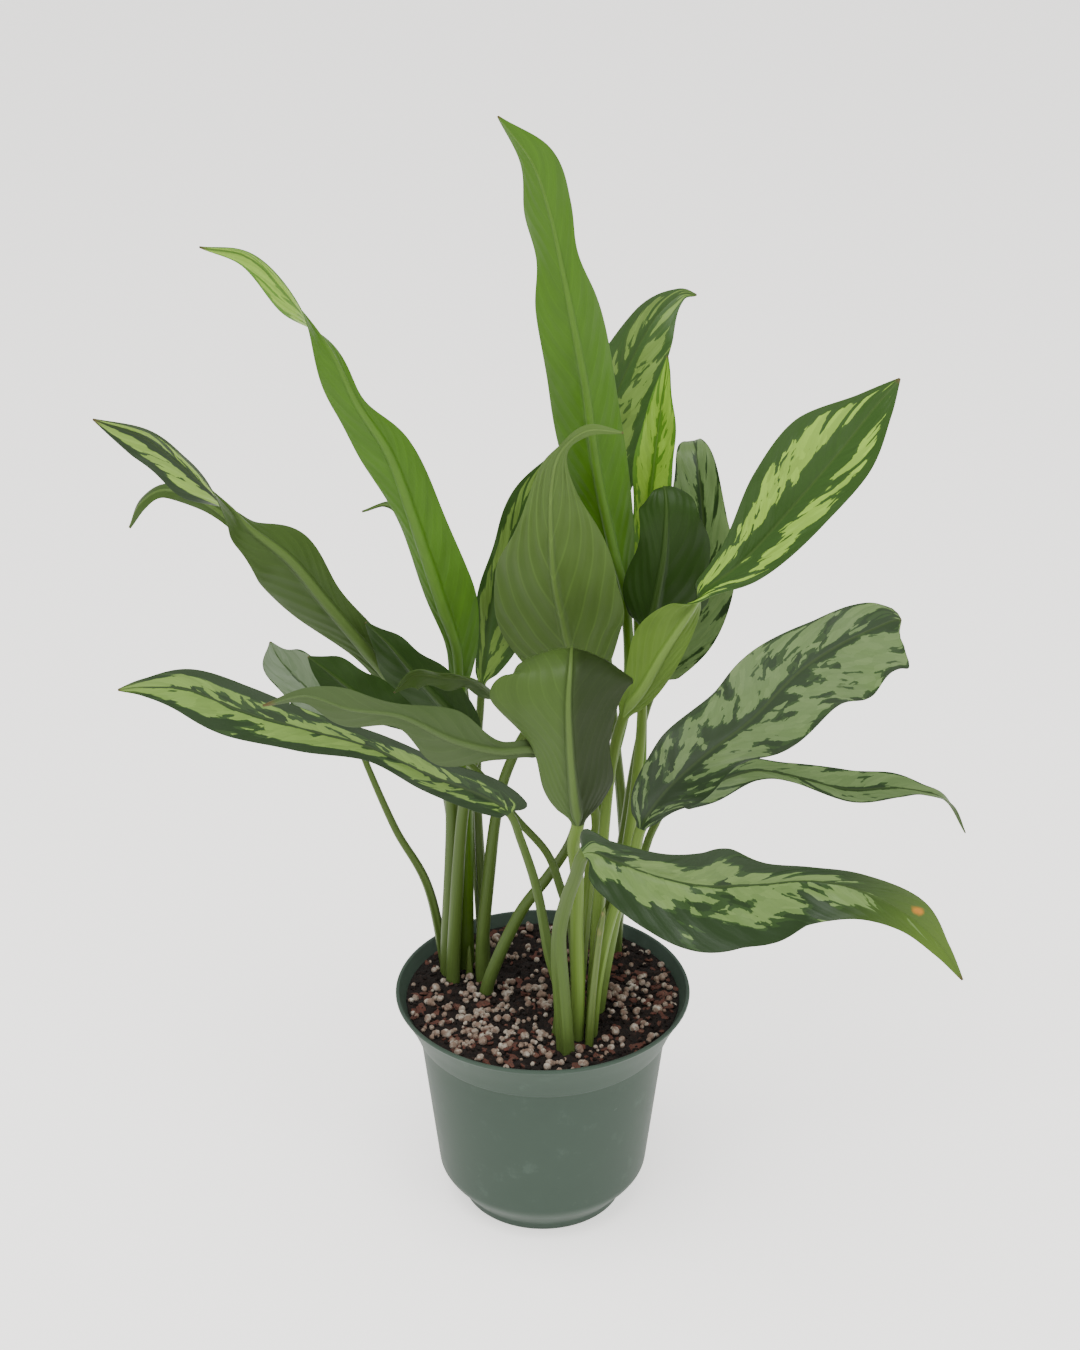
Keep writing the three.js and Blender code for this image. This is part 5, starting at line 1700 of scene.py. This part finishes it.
def papery_sheath(name, look, green_foot):
    """The dry sheath of a leaf that has not opened: yellowish green skin drying to buff
    paper along its edge and at its tip, with strands of about 0.6 mm."""
    material = blank_material(name)
    add = partial(add_node, material.node_tree)
    metres, _, around, along, turn, part = leaf_maps(add)
    strands = add("TexNoise", {
        "Vector": stretched(add, around, along, 0.6, 30), "Scale": 1.0, "Detail": 3.0})
    uneven = add("TexNoise", {
        "Vector": metres, "Scale": 1 / (6 * MM), "Detail": 3.0})
    dry = add("Math", add("Math", part, 0.2, operation="MULTIPLY"), uneven, operation="ADD")
    from_margin = add("Math", add("Math", turn, 0.7, operation="ADD"), operation="ABSOLUTE")
    margin = add("MapRange", from_margin, 0.14, 0.03, interpolation_type="SMOOTHSTEP")
    dry = add("MapRange", add("Math", margin, 0.4, dry, operation="MULTIPLY_ADD"), 0.72, 1.0,
              interpolation_type="SMOOTHSTEP")
    base = add("Mix", {0: dry, 6: opaque(look.sheath), 7: opaque(look.paper)},
               out=2, data_type="RGBA")
    foot = add("MapRange", part, 0.3, 0.0, interpolation_type="SMOOTHSTEP")
    base = add("Mix", {0: add("Math", foot, 0.5, operation="MULTIPLY"), 6: base,
                       7: opaque(green_foot)}, out=2, data_type="RGBA")
    tone = add("Math", strands, 0.5, 0.75, operation="MULTIPLY_ADD")
    base = add("HueSaturation", {"Value": tone, "Color": base})
    bump = add("Bump", {
        "Strength": 0.5, "Distance": 0.15 * MM, "Height": strands})
    shader = add("BsdfPrincipled", {
        "Base Color": base, "Roughness": 0.55, "IOR": 1.42, "Normal": bump})
    add("OutputMaterial", {"Surface": shader})
    return material


# ------------------------------------------------------------------ stage

def seamless_paper(name, look):
    """Matt studio paper on a light table, rolled out flat: one pale tone that glows a little
    itself, with a broad unevenness of about 0.6 m that keeps it from looking drawn."""
    material = blank_material(name)
    add = partial(add_node, material.node_tree)
    place = add("TexCoord", out="Object")
    drift = add("TexNoise", {
        "Vector": place, "Scale": 1 / 0.6, "Detail": 1.0})
    tone = add("Math", drift, 0.04, 0.98, operation="MULTIPLY_ADD")
    base = add("HueSaturation", {"Value": tone, "Color": opaque(look.floor)})
    shader = add("BsdfPrincipled", {
        "Base Color": base, "Roughness": 0.9, "IOR": 1.3,
        "Emission Color": opaque(look.floor), "Emission Strength": look.glow})
    add("OutputMaterial", {"Surface": shader})
    return material


def area_light(name, place, aim, width, power):
    """One soft light with its middle at a place, in metres, turned towards a point."""
    data = bpy.data.lights.new(name, "AREA")
    data.shape = "DISK"
    data.size = width
    data.energy = power
    light = bpy.data.objects.new(name, data)
    light.location = place
    aim_along = Vector(aim) - Vector(place)
    light.rotation_euler = aim_along.to_track_quat("-Z", "Y").to_euler()
    bpy.context.scene.collection.objects.link(light)
    return light


# ------------------------------------------------------------------ operators

class EVERGREEN_OT_stage(bpy.types.Operator):
    """Set up the pale floor, the soft light and the camera"""
    bl_idname = "evergreen.stage"
    bl_label = "Stage"

    def execute(self, context):
        look = context.scene.evergreen_stage
        half = look.width / 2
        mesh = bpy.data.meshes.new("floor")
        mesh.from_pydata([(-half, -half, 0), (half, -half, 0), (half, half, 0),
                          (-half, half, 0)], [], [(0, 1, 2, 3)])
        floor = bpy.data.objects.new("floor", mesh)
        mesh.materials.append(seamless_paper("seamless_paper", look))
        context.scene.collection.objects.link(floor)
        area_light("key_light", *KEY_LIGHT, look.key)
        area_light("fill_light", *FILL_LIGHT, look.fill)
        world = bpy.data.worlds.new("pale_surround")
        world.use_nodes = True
        world.node_tree.nodes.clear()
        add = partial(add_node, world.node_tree)
        sky = add("Background", {
            "Color": linear(SURROUND), "Strength": look.sky})
        add("OutputWorld", {"Surface": sky})
        context.scene.world = world
        data = bpy.data.cameras.new("camera")
        data.sensor_width = SENSOR_MM
        data.lens = FOCAL_PX / PICTURE_HEIGHT_PX * SENSOR_MM
        data.clip_start, data.clip_end = CAMERA_REACH_M
        camera = bpy.data.objects.new("camera", data)
        camera.location = [c * MM for c in CAMERA_MM]
        camera.rotation_euler = (math.pi / 2 - FRONT_TILT, 0, 0)
        context.scene.collection.objects.link(camera)
        context.scene.camera = camera
        return {"FINISHED"}


class EVERGREEN_OT_pot(bpy.types.Operator):
    """Turn the moulded nursery pot and drill its drain holes"""
    bl_idname = "evergreen.pot"
    bl_label = "Pot"

    def execute(self, context):
        look = context.scene.evergreen_pot
        profile = long_gaps_filled(rounded_wall(POT_WALL), POT_STEP)
        points, faces = turned(profile, POT_SIDES)
        pot = new_piece("moulded_pot", points, faces, "pot")
        cut_out(pot, drain_drill(look.holes))
        if len(pot.data.polygons) < len(faces):
            raise RuntimeError("the drain holes were not cut")
        pot.data.materials.clear()
        pot.data.materials.append(moulded_plastic("moulded_polypropylene", look))
        return {"FINISHED"}


class EVERGREEN_OT_potting_mix(bpy.types.Operator):
    """Fill the pot with damp potting mix"""
    bl_idname = "evergreen.potting_mix"
    bl_label = "Potting mix"

    def execute(self, context):
        look = context.scene.evergreen_mix
        points, faces = mix_body()
        body = new_piece("peat_body", points, faces, "potting_mix")
        body.data.materials.append(crumbly_peat("damp_peat", look))
        return {"FINISHED"}


class EVERGREEN_OT_grains(bpy.types.Operator):
    """Strew perlite, bark chips and peat crumbs over the mix"""
    bl_idname = "evergreen.grains"
    bl_label = "Grains and chips"

    def execute(self, context):
        look = context.scene.evergreen_mix
        largest = look.grain / MM
        crumbs = grain_piece(
            "peat_crumbs", look.crumbs, lambda rng, n: rng.uniform(0.5, 1.7, n),
            lambda x, y: 1.0, seed=21, shape=(0.55, 1.0, 0.8), cuts=1, lumps=0.5, sink=0.5)
        crumbs.data.materials.append(crumbly_peat("peat_crumb", look))
        chips = chip_piece("bark_chips", look.chips, seed=22)
        chips.data.materials.append(torn_bark("shredded_bark", look))
        perlite = grain_piece(
            "perlite_grains", look.grains,
            lambda rng, n: largest * (0.34 + 0.66 * rng.beta(1.4, 2.4, n)),
            perlite_wanted, seed=23, shape=(0.76, 1.0, 0.9), cuts=2, lumps=0.34, sink=0.24)
        perlite.data.materials.append(
            puffed_grain("puffed_perlite", look.perlite, look.perlite_stained))
        return {"FINISHED"}


class EVERGREEN_OT_leaves(bpy.types.Operator):
    """Grow every leaf with its stalk"""
    bl_idname = "evergreen.leaves"
    bl_label = "Leaves"

    def execute(self, context):
        look = context.scene.evergreen_leaves
        upper, under, stalks = leaf_finishes(look)
        for seed, (name, leaf) in enumerate(LEAVES.items()):
            leaf["seed"] = seed
            points, faces, maps, finish = leaf_mesh(leaf, look)
            face, back, stalk = leaf["look"]
            piece = new_piece("grown_" + name, points, faces, name)
            dress(piece, maps, finish, [upper[face], under[back], stalks[stalk]])
        return {"FINISHED"}


class EVERGREEN_OT_sheaths(bpy.types.Operator):
    """Add the young sheaths among the stalks"""
    bl_idname = "evergreen.sheaths"
    bl_label = "Sheaths"

    def execute(self, context):
        look = context.scene.evergreen_sheaths
        material = papery_sheath("papery_sheath", look, context.scene.evergreen_leaves.stalk)
        for name, sheath in SHEATHS.items():
            points, faces, maps = sheath_mesh(sheath)
            piece = new_piece("rolled_" + name, points, faces, name)
            dress(piece, maps, [0] * len(faces), [material])
        return {"FINISHED"}


class EVERGREEN_PT_panel(bpy.types.Panel):
    """Sizes, colours and pieces of the potted plant"""
    bl_idname = "EVERGREEN_PT_panel"
    bl_label = "Potted Chinese evergreen"
    bl_space_type = "VIEW_3D"
    bl_region_type = "UI"
    bl_category = "Evergreen"

    def draw(self, context):
        for group, operators in PANEL_ROWS:
            box = self.layout.box()
            settings = getattr(context.scene, group)
            for name in settings.bl_rna.properties.keys():
                if name not in ("name", "rna_type"):
                    box.prop(settings, name)
            for operator in operators:
                box.operator(operator)


PANEL_ROWS = [
    ("evergreen_stage", ["evergreen.stage"]),
    ("evergreen_pot", ["evergreen.pot"]),
    ("evergreen_mix", ["evergreen.potting_mix", "evergreen.grains"]),
    ("evergreen_leaves", ["evergreen.leaves"]),
    ("evergreen_sheaths", ["evergreen.sheaths"]),
]
GROUPS = {
    "evergreen_stage": EvergreenStage, "evergreen_pot": EvergreenPot,
    "evergreen_mix": EvergreenMix, "evergreen_leaves": EvergreenLeaves,
    "evergreen_sheaths": EvergreenSheaths,
}
OPERATORS = [EVERGREEN_OT_stage, EVERGREEN_OT_pot, EVERGREEN_OT_potting_mix,
             EVERGREEN_OT_grains, EVERGREEN_OT_leaves, EVERGREEN_OT_sheaths]


def register():
    for cls in [*GROUPS.values(), *OPERATORS, EVERGREEN_PT_panel]:
        bpy.utils.register_class(cls)
    for name, cls in GROUPS.items():
        setattr(bpy.types.Scene, name, bpy.props.PointerProperty(type=cls))


def unregister():
    for name in GROUPS:
        delattr(bpy.types.Scene, name)
    for cls in reversed([*GROUPS.values(), *OPERATORS, EVERGREEN_PT_panel]):
        bpy.utils.unregister_class(cls)


def main():
    register()
    bpy.ops.evergreen.stage()
    bpy.ops.evergreen.pot()
    bpy.ops.evergreen.potting_mix()
    bpy.ops.evergreen.grains()
    bpy.ops.evergreen.leaves()
    bpy.ops.evergreen.sheaths()


if __name__ == "__main__":
    main()
